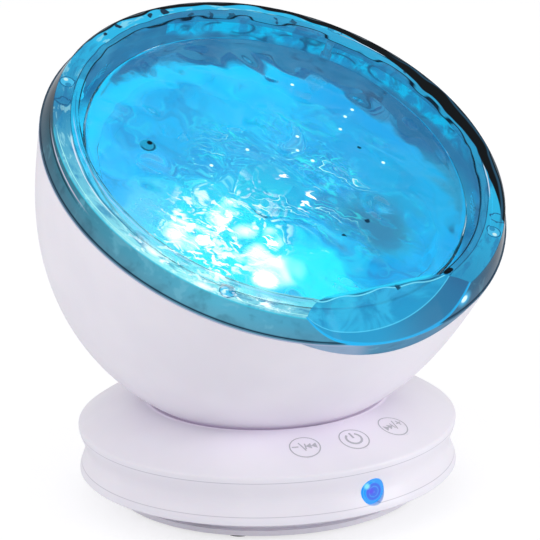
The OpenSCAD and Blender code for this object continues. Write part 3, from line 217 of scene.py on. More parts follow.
# The foot, the side ring and the top plate of the base: three white plastic mouldings with a
# satin surface, clipped and screwed together, standing on four rubber feet.
def moulded_white(name, color="E9E5EF", roughness=0.34):
    """Satin white plastic: faint cloudy shading and a very fine mould grain."""
    f = Finish(name, color, roughness, **{"Coat Weight": 0.12, "Coat Roughness": 0.25,
                                          "Subsurface Weight": 0.06, "Subsurface Scale": 0.004})
    p = f.place()
    cloud = f.noise(p, 26, 3)
    f.set(**{"Base Color": f.mix(f.between(cloud, 0.35, 0.65), tone(color), tone("EFEBF4"))})
    f.set(Roughness=f.between(f.noise(p, 90, 4), 0.3, 0.7, (roughness - 0.05, roughness + 0.06)))
    f.relief(f.noise(p, 5200, 2), 0.00002, 0.25)
    return f


def give(finish, *names):
    for name in names:
        mesh = nodes[name].data
        mesh.materials.clear()
        mesh.materials.append(finish.material)


black = (0, 0, 0, 1)
give(moulded_white("shell_white"), "base_bottom")
plate_white_and_painted_glow = moulded_white("plate_white_and_painted_glow")
# painted light: an emission glow that stands in for the light bouncing in the crevice under the ball, and
# weakly on the plate in front of it
x, y, _ = plate_white_and_painted_glow.axes()
out = plate_white_and_painted_glow.length(x, y)
toward = plate_white_and_painted_glow.math("MULTIPLY_ADD", x, -0.54, plate_white_and_painted_glow.times(y, -0.84))
crevice = plate_white_and_painted_glow.mix(plate_white_and_painted_glow.between(x, -0.012, 0.02), tone("A396AA", 0.34), tone("A398A8", 0.5))
crevice = plate_white_and_painted_glow.mix(plate_white_and_painted_glow.between(toward, 0.0, 0.012), black, crevice)
near = plate_white_and_painted_glow.times(plate_white_and_painted_glow.between(out, 0.053, 0.037), plate_white_and_painted_glow.between(y, -0.016, -0.034),
                         plate_white_and_painted_glow.between(x, 0.026, 0.0))
painted_bounce_glow = plate_white_and_painted_glow.mix(near, black, tone("A396AA", 0.3))
painted_bounce_glow = plate_white_and_painted_glow.mix(plate_white_and_painted_glow.between(out, 0.0345, 0.0335), painted_bounce_glow, crevice)
plate_white_and_painted_glow.set(**{"Emission Color": painted_bounce_glow, "Emission Strength": 1.0})
give(plate_white_and_painted_glow, "base_top")
ring_white = moulded_white("ring_white")
z = ring_white.axes()[2]
ring_low, ring_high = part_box("base_ring")
white = ring_white.shader.inputs["Base Color"].links[0].from_socket
for seam, wide, color in ((ring_high[2] - 0.0001, 0.00012, "C2BDCA"),
                          (ring_low[2] + 0.0014, 0.0001, "C4C0CC")):
    white = ring_white.mix(ring_white.line(z, seam, wide, 0.00012), white, tone(color))
ring_white.set(**{"Base Color": white})
give(ring_white, "base_ring")

rubber = Finish("foot_rubber", "2B2A2E", 0.75)
rubber.relief(rubber.noise(rubber.place(), 2600, 3), 0.00004, 0.5)
give(rubber, "rubber_feet")


def bare_metal(name, color, roughness=0.3):
    """Plated or turned metal: a plain tint with fine uneven gloss."""
    f = Finish(name, color, roughness, Metallic=1.0)
    n = f.noise(f.place(), 900, 3)
    f.set(Roughness=f.between(n, 0.3, 0.7, (roughness - 0.08, roughness + 0.1)))
    f.relief(n, 0.00001, 0.3)
    return f


give(bare_metal("screw_steel", "B9BCC2"), "base_screws", "board_screws", "post_screws",
     "gearbox_screws", "motor_screws")

# The touch marks, printed in grey ink on the top plate above the three touch springs: rewind and
# less, power, and forward and more, each in a ring about eight millimetres across.
cushion_r, cushion_x, cushion_z0 = 33.7, 31.7546, -6.4652  # the arc of the plate's top, in millimetres
mark_r = 42.9
ink = Finish("touch_ink", "BDBBC4", 0.55)
ink.set(Roughness=ink.between(ink.noise(ink.place(), 1500), 0.3, 0.7, (0.48, 0.62)))


def print_on_top(name, strokes, angle):
    """Strokes drawn flat at (u across, v up) are laid on the top plate: u runs round the base at
    mark_r, v runs towards its middle, r = mark_r - 0.95 v, and each point lies 0.03 above the
    plate's arc, z = cushion_z0 + sqrt(cushion_r^2 - (r - cushion_x)^2) + 0.03."""
    points, faces = [], []
    for path, width in strokes:
        path = np.array(path, float)
        step = np.gradient(path, axis=0)
        step /= np.linalg.norm(step, axis=1)[:, None]
        side = np.stack([-step[:, 1], step[:, 0]], 1) * width / 2
        start = len(points)
        points += [*(path + side), *(path - side)]
        n = len(path)
        faces += [(start + i, start + n + i, start + n + i + 1, start + i + 1) for i in range(n - 1)]
    u, v = np.array(points).T
    r, turn = mark_r - 0.95 * v, radians(angle) + u / mark_r
    z = cushion_z0 + np.sqrt(cushion_r**2 - (r - cushion_x) ** 2) + 0.03
    places = np.stack([r * np.cos(turn), r * np.sin(turn), z], 1) / 1000
    obj = put_mesh(name, places, faces, ink, "base")
    return obj


def loop(radius, a=0, b=360, n=48):
    t = np.radians(np.linspace(a, b, n))
    return np.stack([radius * np.cos(t), radius * np.sin(t)], 1)


def bar(a, b, width, n=9):
    """A straight stroke from a to b, in short steps so that it follows the plate."""
    return [(np.linspace(a, b, n), width)]


def wedge(x, w, h, n=6):
    """A filled triangle pointing along w, as one wide tapering stroke cut into thin strips."""
    xs = np.linspace(x, x + w, n + 1)
    half = h / 2 * (1 - (xs - x) / w)
    mid = xs + w / n / 2
    return [s for i in range(n) for s in bar((mid[i], -half[i]), (mid[i], half[i]), abs(w) / n)]


ring_mark = [(loop(4.05), 0.34)]
power_mark = ring_mark + [(loop(2.15, 125, 415), 0.62)] + bar((0, 0.1), (0, 2.6), 0.6)
less_mark = ring_mark + bar((-3.5, 0), (-1.7, 0), 0.42) + bar((-1.5, 1.7), (0.0, -1.7), 0.36)
less_mark += bar((0.15, -1.1), (0.15, 1.1), 0.36) + wedge(1.75, -1.45, 2.1) + wedge(3.2, -1.45, 2.1)
more_mark = ring_mark + bar((1.7, 0), (3.5, 0), 0.42) + bar((2.6, -1.0), (2.6, 1.0), 0.42)
more_mark += bar((0.1, -1.7), (1.6, 1.7), 0.36) + bar((-0.15, -1.1), (-0.15, 1.1), 0.36)
more_mark += wedge(-3.2, 1.45, 2.1) + wedge(-1.75, 1.45, 2.1)
for mark_name, mark, where in (("mark_less", less_mark, -109.7), ("mark_power", power_mark, -90.7),
                               ("mark_more", more_mark, -71.4)):
    print_on_top(mark_name, mark, where)

# The indicator: a small stepped lens of clear blue resin pressed into the side ring from behind,
# lit by the blue lamp on the board behind it.
def far(f, place, spot):
    """Distance of place from a spot, in the units of place."""
    return f.add("ShaderNodeVectorMath", {0: place, 1: spot}, operation="DISTANCE").outputs["Value"]


indicator_z = 0.01265
lens_blue = Finish("lens_blue", "1FA8FF", 0.12, **{"Coat Weight": 0.6})
place = lens_blue.place()
x, _, z = lens_blue.axes()
out = lens_blue.length(x, lens_blue.math("SUBTRACT", z, indicator_z))
core, band, edge = tone("2C6AEC"), tone("3C9CF8"), tone("1C9CFF")
glow = lens_blue.ramp(lens_blue.times(out, 250.0), (0.3, core), (0.36, band), (0.42, core), (0.54, core),
                      (0.64, edge))
# painted light: the lamp's glow is painted into the lens as emission, in stepped rings with a violet patch
violet = far(lens_blue, place, (-0.0010, -0.0505, 0.0130))
glow = lens_blue.mix(lens_blue.between(violet, 0.0016, 0.0002, (0.0, 0.8)), glow, tone("5A38F0"))
# a painted highlight at the lens's upper left
painted_highlight = far(lens_blue, place, (-0.0019, -0.0505, 0.0144))
glow = lens_blue.mix(lens_blue.between(painted_highlight, 0.0012, 0.0003, (0.0, 0.85)), glow, tone("90F4FF"))
lens_blue.set(**{"Base Color": tone("02060C"), "Emission Color": glow, "Emission Strength": 1.0})
give(lens_blue, "indicator_lens")

# Inside the base: the loudspeaker, the main board with its two sockets, the touch board with its
# springs and the leads between them.
board_green = Finish("board_green", "1F6B3C", 0.4)
tracks = board_green.add("ShaderNodeTexVoronoi", {"Vector": board_green.place(), "Scale": 420.0})
tracks = board_green.between(tracks.outputs[0], 0.2, 0.5)
board_green.set(**{"Base Color": board_green.mix(tracks, tone("175A32"), tone("2A7F4A"))})
give(board_green, "main_board", "touch_board")
black_paper = Finish("speaker_black", "1C1C20", 0.7)
black_paper.relief(black_paper.noise(black_paper.place(), 3000, 4), 0.00005, 0.6)
give(black_paper, "speaker_cone", "speaker_frame")
give(bare_metal("plated_steel", "A9ACB4", 0.35), "speaker_magnet", "usb_inlet", "motor",
     "motor_shaft", "gear_pin", "disc_spindle", "clamp_washer")
give(bare_metal("spring_steel", "C6C8CC", 0.25), "touch_springs", "clamp_spring")
give(bare_metal("nut_brass", "C9A55A", 0.3), "clamp_nut")
give(bare_metal("post_aluminium", "C3C5CA", 0.35), "tilt_post")
jack_black = Finish("jack_black", "202024", 0.45)
jack_black.relief(jack_black.noise(jack_black.place(), 2500, 3), 0.00002, 0.4)
give(jack_black, "audio_jack")
for lead_name, lead_color, leads in (("lead_red", "B3261E", ("motor_lead", "speaker_lead")),
                                     ("lead_grey", "77797F", ("board_lead",))):
    lead_skin = Finish(lead_name, lead_color, 0.5)
    lead_skin.relief(lead_skin.noise(lead_skin.place(), 2000, 2), 0.00003, 0.3)
    give(lead_skin, *leads)
lamp_resin = Finish("lamp_resin", "EAF6FF", 0.15)
haze = lamp_resin.noise(lamp_resin.place(), 900)
lamp_resin.set(Roughness=lamp_resin.between(haze, 0.3, 0.7, (0.1, 0.2)))
give(lamp_resin, "indicator_led")

# The ball: one white moulding, round below and flaring gently to its rim, which dips at the front.
# Its middle stands ball_z millimetres up, and the head leans by head_lean degrees at rest.
head_lean, ball_z = 31.2, 78.7856


def make_head_place():
    """A node group that gives a point's place in the head, in millimetres from the middle of the
    ball: the place itself, its parts across, back and up, its distance from the head's axis, and
    its turn round the axis from 0 at the back, by the left, to 0.5 at the front and 1 again."""
    tree = bpy.data.node_groups.new("head_place", "ShaderNodeTree")
    for name in ("Place", "Across", "Back", "Height", "Out", "Turn"):
        kind = "NodeSocketVector" if name == "Place" else "NodeSocketFloat"
        tree.interface.new_socket(name, in_out="OUTPUT", socket_type=kind)
    g = Finish("head_place", tree=tree)
    moved = g.add("ShaderNodeMapping", {"Vector": g.place(), "Location": (0, 0, ball_z / 1000),
                                        "Rotation": (radians(head_lean), 0, 0)}, vector_type="TEXTURE")
    scaled = g.add("ShaderNodeVectorMath", {0: moved.outputs[0], 3: 1000.0}, operation="SCALE").outputs[0]
    axes = g.add("ShaderNodeSeparateXYZ", {0: scaled}).outputs
    flat = g.add("ShaderNodeCombineXYZ", {0: axes[0], 1: axes[1]}).outputs[0]
    out = g.add("ShaderNodeVectorMath", {0: flat}, operation="LENGTH").outputs["Value"]
    turn = g.math("ARCTAN2", axes[0], g.math("MULTIPLY", axes[1], -1.0))
    turn = g.math("MULTIPLY_ADD", turn, 0.5 / pi, 0.5)
    g.add("NodeGroupOutput", {"Place": scaled, "Across": axes[0], "Back": axes[1], "Height": axes[2],
                              "Out": out, "Turn": turn})
    return tree


head_tree = make_head_place()


def head_place(f):
    """The six outputs of the group for the finish f."""
    out = f.add("ShaderNodeGroup", node_tree=head_tree).outputs
    return [out[n] for n in ("Place", "Across", "Back", "Height", "Out", "Turn")]


bowl_white_and_painted_glow = moulded_white("bowl_white_and_painted_glow")
place, _, _, h, r, turn = head_place(bowl_white_and_painted_glow)
# painted light: inside the rim the bowl is dark and glows with emission standing in for the blue lamp light
# on it, steel blue with brighter cyan patches high up over part of its round, dark painted loops and
# lighter cells
lining = bowl_white_and_painted_glow.math("SUBTRACT", r, bowl_white_and_painted_glow.math("MULTIPLY_ADD", h, 0.12, 61.4))
inside = bowl_white_and_painted_glow.times(bowl_white_and_painted_glow.between(lining, 0.1, -0.1), bowl_white_and_painted_glow.between(h, 0.5, 1.5))
blur = bowl_white_and_painted_glow.noise(place, 0.09, 2, 0.5, 0.5)
painted_wall_glow = bowl_white_and_painted_glow.mix(bowl_white_and_painted_glow.between(blur, 0.35, 0.65), tone("2F6A98"), tone("3B84AE"))
bent = bowl_white_and_painted_glow.add("ShaderNodeMapping", {"Vector": place, "Scale": (0.09, 0.09, 0.2)}).outputs[0]
cell = bowl_white_and_painted_glow.add("ShaderNodeTexVoronoi", {"Vector": bent, "Scale": 1.0, "Smoothness": 0.3},
                      feature="SMOOTH_F1").outputs[0]
upper = bowl_white_and_painted_glow.between(bowl_white_and_painted_glow.math("MULTIPLY_ADD", blur, 6.0, h), 11.5, 13.5)
upper = bowl_white_and_painted_glow.times(upper, bowl_white_and_painted_glow.between(turn, 0.72, 0.78))
lit = bowl_white_and_painted_glow.between(bowl_white_and_painted_glow.noise(place, 0.2, 3, 0.6, 0.8), 0.4, 0.6)
painted_wall_glow = bowl_white_and_painted_glow.mix(upper, painted_wall_glow, bowl_white_and_painted_glow.mix(lit, tone("14B8EC"), tone("2484BC")))
loops = bowl_white_and_painted_glow.times(bowl_white_and_painted_glow.line(cell, 0.42, 0.06, 0.05), bowl_white_and_painted_glow.between(blur, 0.42, 0.5), 0.85)
painted_wall_glow = bowl_white_and_painted_glow.mix(loops, painted_wall_glow, tone("1E3C68"))
painted_wall_glow = bowl_white_and_painted_glow.mix(bowl_white_and_painted_glow.between(cell, 0.32, 0.16, (0.0, 0.4)), painted_wall_glow, tone("2496D4"))
white = bowl_white_and_painted_glow.shader.inputs["Base Color"].links[0].from_socket
bowl_white_and_painted_glow.set(**{"Base Color": bowl_white_and_painted_glow.mix(inside, white, tone("06121A")), "Emission Strength": 1.0,
                  "Emission Color": bowl_white_and_painted_glow.mix(inside, black, painted_wall_glow)})
give(bowl_white_and_painted_glow, "bowl_shell")
give(moulded_white("clamp_plastic", "D8D6DC", 0.42), "clamp_saddle")

# The wave drive: motor, three acetal gears between two white plates, and the spindle of the disc.
give(moulded_white("gear_acetal", "F0EEE8", 0.4), "motor_pinion", "compound_gear", "disc_gear")
give(moulded_white("inner_white", "ECECF0", 0.45), "motor_plate", "gear_plate")

# The lamp board, its twelve lamps, and the white tray that throws their light up.
board_white = Finish("board_white", "E6F2F6", 0.4)
haze = board_white.noise(board_white.place(), 700)
board_white.set(Roughness=board_white.between(haze, 0.3, 0.7, (0.35, 0.5)))
give(board_white, "led_board")


flow_turn = radians(-49)


def along_flow(f, place, stretch):
    """The place in a frame turned to the ripples' run and stretched along it."""
    return f.add("ShaderNodeMapping", {"Vector": place, "Rotation": (0, 0, flow_turn),
                                       "Scale": (stretch, 0.9, 1.0)}, vector_type="TEXTURE").outputs[0]


def make_water_light():
    """A node group for the painted light that lies on everything under the lens: an emission colour for
    each place in the head, white-hot over the nearest lamps, blue elsewhere, with a painted shade patch,
    streaked by the ripples."""
    tree = bpy.data.node_groups.new("water_light", "ShaderNodeTree")
    tree.interface.new_socket("Color", in_out="OUTPUT", socket_type="NodeSocketColor")
    g = Finish("water_light", tree=tree)
    place, x, _, _, r, turn = head_place(g)
    drift = g.add("ShaderNodeTexNoise", {"Vector": place, "Scale": 0.09, "Detail": 3.0}).outputs["Color"]
    drift = g.add("ShaderNodeVectorMath", {0: drift, 1: (0.5, 0.5, 0.5)}, operation="SUBTRACT").outputs[0]
    bent = g.add("ShaderNodeVectorMath", {0: drift, 1: (26, 26, 0), 2: place},
                 operation="MULTIPLY_ADD").outputs[0]
    flow = along_flow(g, bent, 2.4)
    soft = g.noise(flow, 0.09, 3, 0.55, 0.4)

    def pool(spot, wide, tight, share=1.0, where=bent):
        return g.between(far(g, where, (*spot, 2)), wide, tight, (0.0, share))

    glow = g.ramp(soft, (0.3, tone("00C4FC")), (0.45, tone("00B0EA")), (0.55, tone("00A4E0")),
                  (0.68, tone("1890D0")))
    for spot, wide, tight, share, color in (
            ((4, 26), 26, 8, 0.6, "0CA6DC"), ((18, 40), 22, 8, 0.7, "00CAFF"),
            ((-31, 24), 18, 6, 0.6, "30B8F8"), ((42, 8), 20, 8, 0.6, "0094D0")):
        glow = g.mix(pool(spot, wide, tight, share), glow, tone(color))
    shade = g.times(pool((29, -11), 18, 5, 0.95), g.between(g.noise(bent, 0.14, 3, 0.6, 0.6), 0.3, 0.52))
    glow = g.mix(shade, glow, tone("2C78A6"))
    glow = g.mix(pool((2, -26), 18, 8), glow, tone("1CF0FF"))
    mottle = g.noise(flow, 0.24, 3, 0.6, 0.8)
    glow = g.mix(g.between(mottle, 0.54, 0.66, (0.0, 0.45)), glow, tone("2CDCF4"))
    glow = g.mix(g.between(mottle, 0.44, 0.34, (0.0, 0.4)), glow, tone("0084C4"))
    glow = g.mix(pool((-18, -9), 26, 15), glow, tone("28F4FF"))
    glow = g.mix(pool((-34, 6), 16, 6, 0.7), glow, tone("70E0FF"))
    outer = g.mix(g.between(x, 22, 42), tone("00CCFF"), tone("06A2E2"))
    glow = g.mix(g.between(r, 46, 50, (0.0, 0.85)), glow, outer)
    side = g.most(g.between(turn, 0.6, 0.64), g.between(turn, 0.14, 0.08))
    edge = g.math("MULTIPLY_ADD", g.noise(place, 0.16, 3, 0.6, 0.6), 9.0, r)
    painted_wall_glow = g.mix(g.between(soft, 0.46, 0.6), tone("1E6496"), tone("2C82B0"))
    loops = g.math("FRACT", g.times(g.noise(place, 0.16, 1, 0.5, 0.8), 7.0))
    painted_wall_glow = g.mix(g.line(loops, 0.5, 0.06, 0.08), painted_wall_glow, tone("17508A"))
    glow = g.mix(g.times(g.between(edge, 57.6, 61.6), side), glow, painted_wall_glow)
    # the lines into which the ripples gather the light, in nested loops over the middle
    curl = g.noise(flow, 0.2, 1, 0.5, 1.0)
    fold = g.math("FRACT", g.times(curl, 6.0))
    middle = g.most(pool((13, 10), 30, 16, 0.85), pool((-12, 4), 28, 16, 0.7))
    middle = g.times(middle, g.math("SUBTRACT", 1.0, shade))
    glow = g.mix(g.times(g.between(fold, 0.5, 0.95), middle, 0.5), glow, tone("2A98DC"))
    glow = g.mix(g.times(g.line(fold, 0.25, 0.16, 0.12), middle, 0.5), glow, tone("1478BC"))
    glow = g.mix(g.times(g.line(fold, 0.5, 0.14, 0.1), middle, 0.6), glow, tone("58F4FF"))
    fleck = g.between(g.noise(flow, 0.5, 2, 0.5, 0.8), 0.64, 0.7)
    glow = g.mix(g.times(fleck, pool((6, 6), 30, 20, 0.9, place)), glow, tone("A8FFFF"))
    # bright cells and spots over the nearest lamps
    cell = g.add("ShaderNodeTexVoronoi", {"Vector": bent, "Scale": 0.33, "Smoothness": 0.3},
                 feature="SMOOTH_F1").outputs[0]
    cells = g.times(g.between(cell, 0.48, 0.3), g.between(g.noise(place, 0.2), 0.42, 0.52))
    glow = g.mix(g.times(cells, pool((-15, -6), 21, 13, 1.0, place)), glow, tone("F2FFFF", 1.3))
    for spot, size in (((-8.8, -21.2), 9.0), ((-27.4, -1.8), 5.0), ((-23, -5), 4.2),
                       ((-13, 0.4), 4.6), ((-8.4, 2.9), 3.4), ((-9.2, -7), 4.4),
                       ((-2.9, -9.6), 3.6), ((-10, -15.5), 4.6), ((-16.6, -15.9), 3.6)):
        glow = g.mix(pool(spot, size, 0.0, 1.0, place), glow, tone("FFFFFF", 2.4))
    g.add("NodeGroupOutput", {"Color": glow})
    return tree


water_tree = make_water_light()


def under_water(f, more=None, share=0.0, strength=1.0):
    """Gives the finish the painted water light of its place as emission, with a share of the colour more.
    """
    glow = f.add("ShaderNodeGroup", node_tree=water_tree).outputs[0]
    if more:
        glow = f.mix(share, glow, tone(more))
    f.set(**{"Emission Color": glow, "Emission Strength": strength})
    return f


# painted light: the tray, the lamps, the disc's hub and cap and the screws glow with the painted water
# light, as emission
give(under_water(Finish("lit_tray", "06222B", 0.6), strength=1.1), "lamp_tray")
give(under_water(Finish("lamp_lit", "0A2A36", 0.3), "D8FFFF", 0.05), "leds")
give(under_water(Finish("lit_acetal", "041218", 0.4), "2AB4EC", 0.12), "disc_hub", "disc_cap")
give(under_water(Finish("lit_steel", "04141C", 0.35), "A0E8FF", 0.06), "lens_screws", "tray_screws")

# The wave disc and the ripple lens: clear acrylic, rippled on both faces; the disc turns under
# the still lens, and the light that passes both moves like light under water.
def clear_acrylic(name, ior, roughness=0.02):
    return Finish(name, "EEFBFF", roughness, **{"Transmission Weight": 1.0, "IOR": ior})


def ripples(x, y, seed):
    """Sum of twelve sine waves, size * sin(2 pi (x' cos way + y' sin way) / size + phase), of sizes
    0.7 to 1.7 times 11 mm and of seeded ways and phases, where x' and y' are x and y bent by two
    slow waves each. The sum is scaled so that its highest crest or trough is 1."""
    rng = np.random.default_rng(seed)
    length = 11.0
    bend_x = 3.0 * np.sin(2 * pi * y / 41 + 1.3) + 1.6 * np.sin(2 * pi * (x + y) / 27)
    bend_y = 3.0 * np.sin(2 * pi * x / 37 + 0.4) + 1.6 * np.sin(2 * pi * (x - y) / 31)
    total = np.zeros_like(x)
    for k in range(12):
        way = rng.uniform(0, 2 * pi)
        size = length * rng.uniform(0.7, 1.7)
        run = (x + bend_x) * cos(way) + (y + bend_y) * sin(way)
        total += size / length * np.sin(2 * pi * run / size + rng.uniform(0, 6.28))
    return total / np.abs(total).max()


def to_world(points):
    """From the head's millimetres to the table's metres: turned by head_lean about X, raised."""
    c, s = cos(radians(head_lean)), sin(radians(head_lean))
    x, y, h = np.moveaxis(np.asarray(points, float), -1, 0)
    return np.stack([x, y * c - h * s, y * s + h * c + ball_z], -1) / 1000


def rippled_sheet(name, r0, r1, low, rings, sectors, seed, finish, body):
    """A disc between radii r0 and r1 whose two faces stand at low + thick / 2 plus or minus
    thick / 2 times e, plus rise times the ripples, which fade out over the last fade_w at both
    rims. e is 1 and falls to 0.1 over the last bevel, all round both faces."""
    thick, rise, bevel, fade_w = 2.0, 0.8, 1.2, 3
    r = np.concatenate([np.linspace(r0, r1 - bevel, rings - 1), [r1 - bevel / 2, r1]])[:, None]
    half = thick / 2 * np.clip((r1 - r) / bevel, 0.1, 1)
    t = np.linspace(0, 2 * pi, sectors, endpoint=False)[None, :]
    x, y = r * np.cos(t), r * np.sin(t)
    fade = np.clip((r1 - r) / fade_w, 0, 1) * np.clip((r - r0) / fade_w + (r0 == 0), 0, 1)
    top = np.stack([x, y, low + thick / 2 + half + rise * fade * ripples(x, y, seed)], -1)
    under = np.stack([x, y, low + thick / 2 - half + rise * fade * ripples(x, y, seed + 1)], -1)
    points = np.concatenate([top.reshape(-1, 3), under.reshape(-1, 3)])
    i, j = np.meshgrid(np.arange(rings), np.arange(sectors), indexing="ij")
    here, further, k = i * sectors, (i + 1) * sectors, (j + 1) % sectors
    n = (rings + 1) * sectors
    face = np.stack([here + j, further + j, further + k, here + k], -1).reshape(-1, 4)
    edge_j = np.arange(sectors)
    edge_k = (edge_j + 1) % sectors
    last = rings * sectors
    rim = np.stack([last + edge_j, n + last + edge_j, n + last + edge_k, last + edge_k], -1)
    faces = [face, face[:, ::-1] + n, rim]
    if r0 > 0:
        faces.append(np.stack([edge_k, n + edge_k, n + edge_j, edge_j], -1))
    obj = put_mesh(name, to_world(points), np.concatenate(faces), finish, body)
    if r0 == 0:  # the middle is one point, not a ring of them
        b = bmesh.new()
        b.from_mesh(obj.data)
        bmesh.ops.remove_doubles(b, verts=b.verts, dist=1e-7)
        b.to_mesh(obj.data)
        b.free()
    return obj


disc_clear, lens_clear = clear_acrylic("soft_rippled_acrylic", 1.03), clear_acrylic("rippled_acrylic", 1.2)
wave_sheet = rippled_sheet("wave_disc_clear", 4.2, 47.6, 7.6, 90, 300, 3, disc_clear, "disc")
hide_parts("wave_disc")
lens_sheet = rippled_sheet("ripple_lens_clear", 0, 53.2, 14.6, 100, 340, 7, lens_clear, "head")
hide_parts("ripple_lens")
ring_acrylic = clear_acrylic("ring_acrylic", 1.05, 0.05)
ring_acrylic.set(Alpha=0.2)
give(ring_acrylic, "lens_ring")

# The cover: one clear moulding over the whole mouth of the ball, with a raised rib, a flat hollow
# at the front and a side band that stands on the ball's rim.
# the cover is nearly clear; the light and shade seen in and through it are painted into its emission,
# opaque where painted
cover = Finish("clear_cover", "1FA8D8", 0.04, **{"IOR": 1.4, "Specular IOR Level": 0.08})
place, x, y, h, r, turn = head_place(cover)
angle = cover.math("MULTIPLY_ADD", turn, 360.0, -180.0)
# the heights of the cover's flat top and of the window in it, and the end of the top, in millimetres
top_h, window_h, top_r = 21.15, 21.9, 62.42
# the finish's own calls, by short names for this section
math, between, line, mix, noise = cover.math, cover.between, cover.line, cover.mix, cover.noise
times, most = cover.times, cover.most


def minus(a, b):
    return math("SUBTRACT", a, b)


def point(*parts):
    """A place put together from its parts; a third part that isn't given is 0."""
    return cover.add("ShaderNodeCombineXYZ", dict(enumerate(parts))).outputs[0]


def apart(place, spot):
    """How far a place is from a spot."""
    return far(cover, place, spot)


def round_point(at, out):
    """The point of the cover's top at an angle from the front, the right side positive."""
    return (out * sin(radians(at)), -out * cos(radians(at)), top_h)


def by_turn(*stops):
    """Colours set round the cover, at angles from the front."""
    return cover.ramp(turn, *[(at / 360 + 0.5, tone(code)) for at, code in stops])


def level_by_turn(low, high, *stops):
    """A smooth value between low and high, set at angles from the front."""
    node = cover.add("ShaderNodeFloatCurve", {"Value": turn})
    points = node.mapping.curves[0].points
    for k, (at, level) in enumerate(stops):
        spot = (at / 360 + 0.5, (level - low) / (high - low))
        if k < 2:  # the curve has two points from the start
            points[k].location = spot
        else:
            points.new(*spot)
    node.mapping.update()
    return math("MULTIPLY_ADD", node.outputs[0], high - low, low)


def arc(first, last, soft=3.0):
    return times(between(angle, first - soft, first + soft), between(angle, last + soft, last - soft))


def over(share, color, strength=1.0):
    """Paints a colour over the cover's painted light so far."""
    global painted_light
    painted_light = mix(share, painted_light, tone(color, strength) if isinstance(color, str) else color)


# noise that runs round the cover in long streaks, and the sway of the lines on it
inverse = math("DIVIDE", 1.0, r)
streak_place = point(times(x, inverse, 9.0), times(y, inverse, 9.0),
                     math("ADD", times(r, 0.55), times(h, 0.35)))
streak = noise(streak_place, 1.0, 3, 0.6, 0.4)
sway = minus(noise(place, 0.13, 0, 0.5, 0.3), 0.5)
loose = most(arc(72, 200, 8), arc(-200, -148, 8))
waver = math("MULTIPLY_ADD", sway, math("MULTIPLY_ADD", loose, 2.4, 0.35), r)
drift = cover.add("ShaderNodeTexNoise", {"Vector": place, "Scale": 0.3, "Detail": 2.0}).outputs["Color"]
bent = cover.add("ShaderNodeVectorMath", {0: drift, 1: (4, 4, 0), 2: place},
                 operation="MULTIPLY_ADD").outputs[0]
bent = cover.add("ShaderNodeVectorMath", {0: bent, 1: (2, 2, 0)}, operation="SUBTRACT").outputs[0]

# the rib between its two edge lines, and the flat ring outside it, by turn
rib_in = level_by_turn(54, 60, (-180, 55.6), (-145, 56.0), (-125, 55.8), (-105, 55.2), (-60, 55.0),
                       (-20, 55.3), (40, 55.3), (120, 55.5), (180, 55.6))
rib_out = level_by_turn(54, 60, (-180, 58.5), (-165, 58.0), (-115, 57.95), (-80, 58.7), (-30, 58.9),
                        (20, 57.2), (60, 57.3), (75, 57.8), (120, 58.4), (180, 58.5))
# outside dark_from the top is painted black as shade; where nothing is black, dark_from lies beyond the
# top's end
dark_from = level_by_turn(55, 64, (-180, 61.0), (-150, 61.8), (-138, 62.3), (-128, 63.8), (44, 63.8),
                          (52, 61.4), (62, 59.8), (70, 58.3), (80, 57.0), (90, 56.3), (108, 56.5),
                          (119, 58.6), (128, 59.8), (145, 60.3), (165, 60.8), (180, 61.0))
from_in, from_out = minus(waver, rib_in), minus(waver, rib_out)
past_in = between(from_in, -0.1, 0.15)
past_out = between(from_out, -0.15, 0.15)
dark = between(minus(waver, dark_from), -0.12, 0.2)
on_top = between(h, 19.6, 20.2)
# painted light and shade: the colours that run round the cover are gradients of this palette, bright
# towards the lamps at the front left and darker in shade at the right and behind
painted_shade_dark, steel, water, ice = "0A1622", "3080AC", "2CC0F0", "A0F8FF"
painted_light = by_turn((-180, steel), (-110, water), (-48, ice), (15, steel), (130, water), (180, steel))
ring_painted_light = by_turn((-150, water), (-118, steel), (-60, ice), (10, steel), (60, water), (90, steel),
                    (130, water))
over(past_out, ring_painted_light)
# painted streaks of shade and of pale light over the rib and the ring
over(times(between(streak, 0.5, 0.66, (0.0, 0.7)), past_in, minus(1.0, loose)), "2A78AC")
pale_ring = mix(0.5, ring_painted_light, tone("BFFFFF"))
over(times(between(streak, 0.46, 0.38, (0.0, 0.8)), past_out, minus(1.0, arc(15, 62))), pale_ring)
# painted highlights and painted shade: thin lines along the rib and the ring, light beside dark
over(times(line(waver, 61.7, 0.16, 0.12), arc(-110, -18)), "B8FFF4")
over(times(line(from_in, 1.0, 0.1, 0.14), arc(-125, -20)), "1E5C94")
over(times(line(from_in, 1.7, 0.16, 0.16), arc(-115, -30)), "C4D4FF")
over(times(line(from_out, 0.42, 0.14, 0.14), most(arc(-108, -80), arc(60, 135))), "F4F4FF")
line_in = line(from_in, 0.0, 0.4, 0.14)
line_out = line(from_out, 0.0, 0.2, 0.14)
over(line_out, "10304C")
over(line_in, "081624")
over(times(line(from_in, 0.5, 0.3, 0.15), arc(-75, -44, 5), 0.6), "1C4C80")
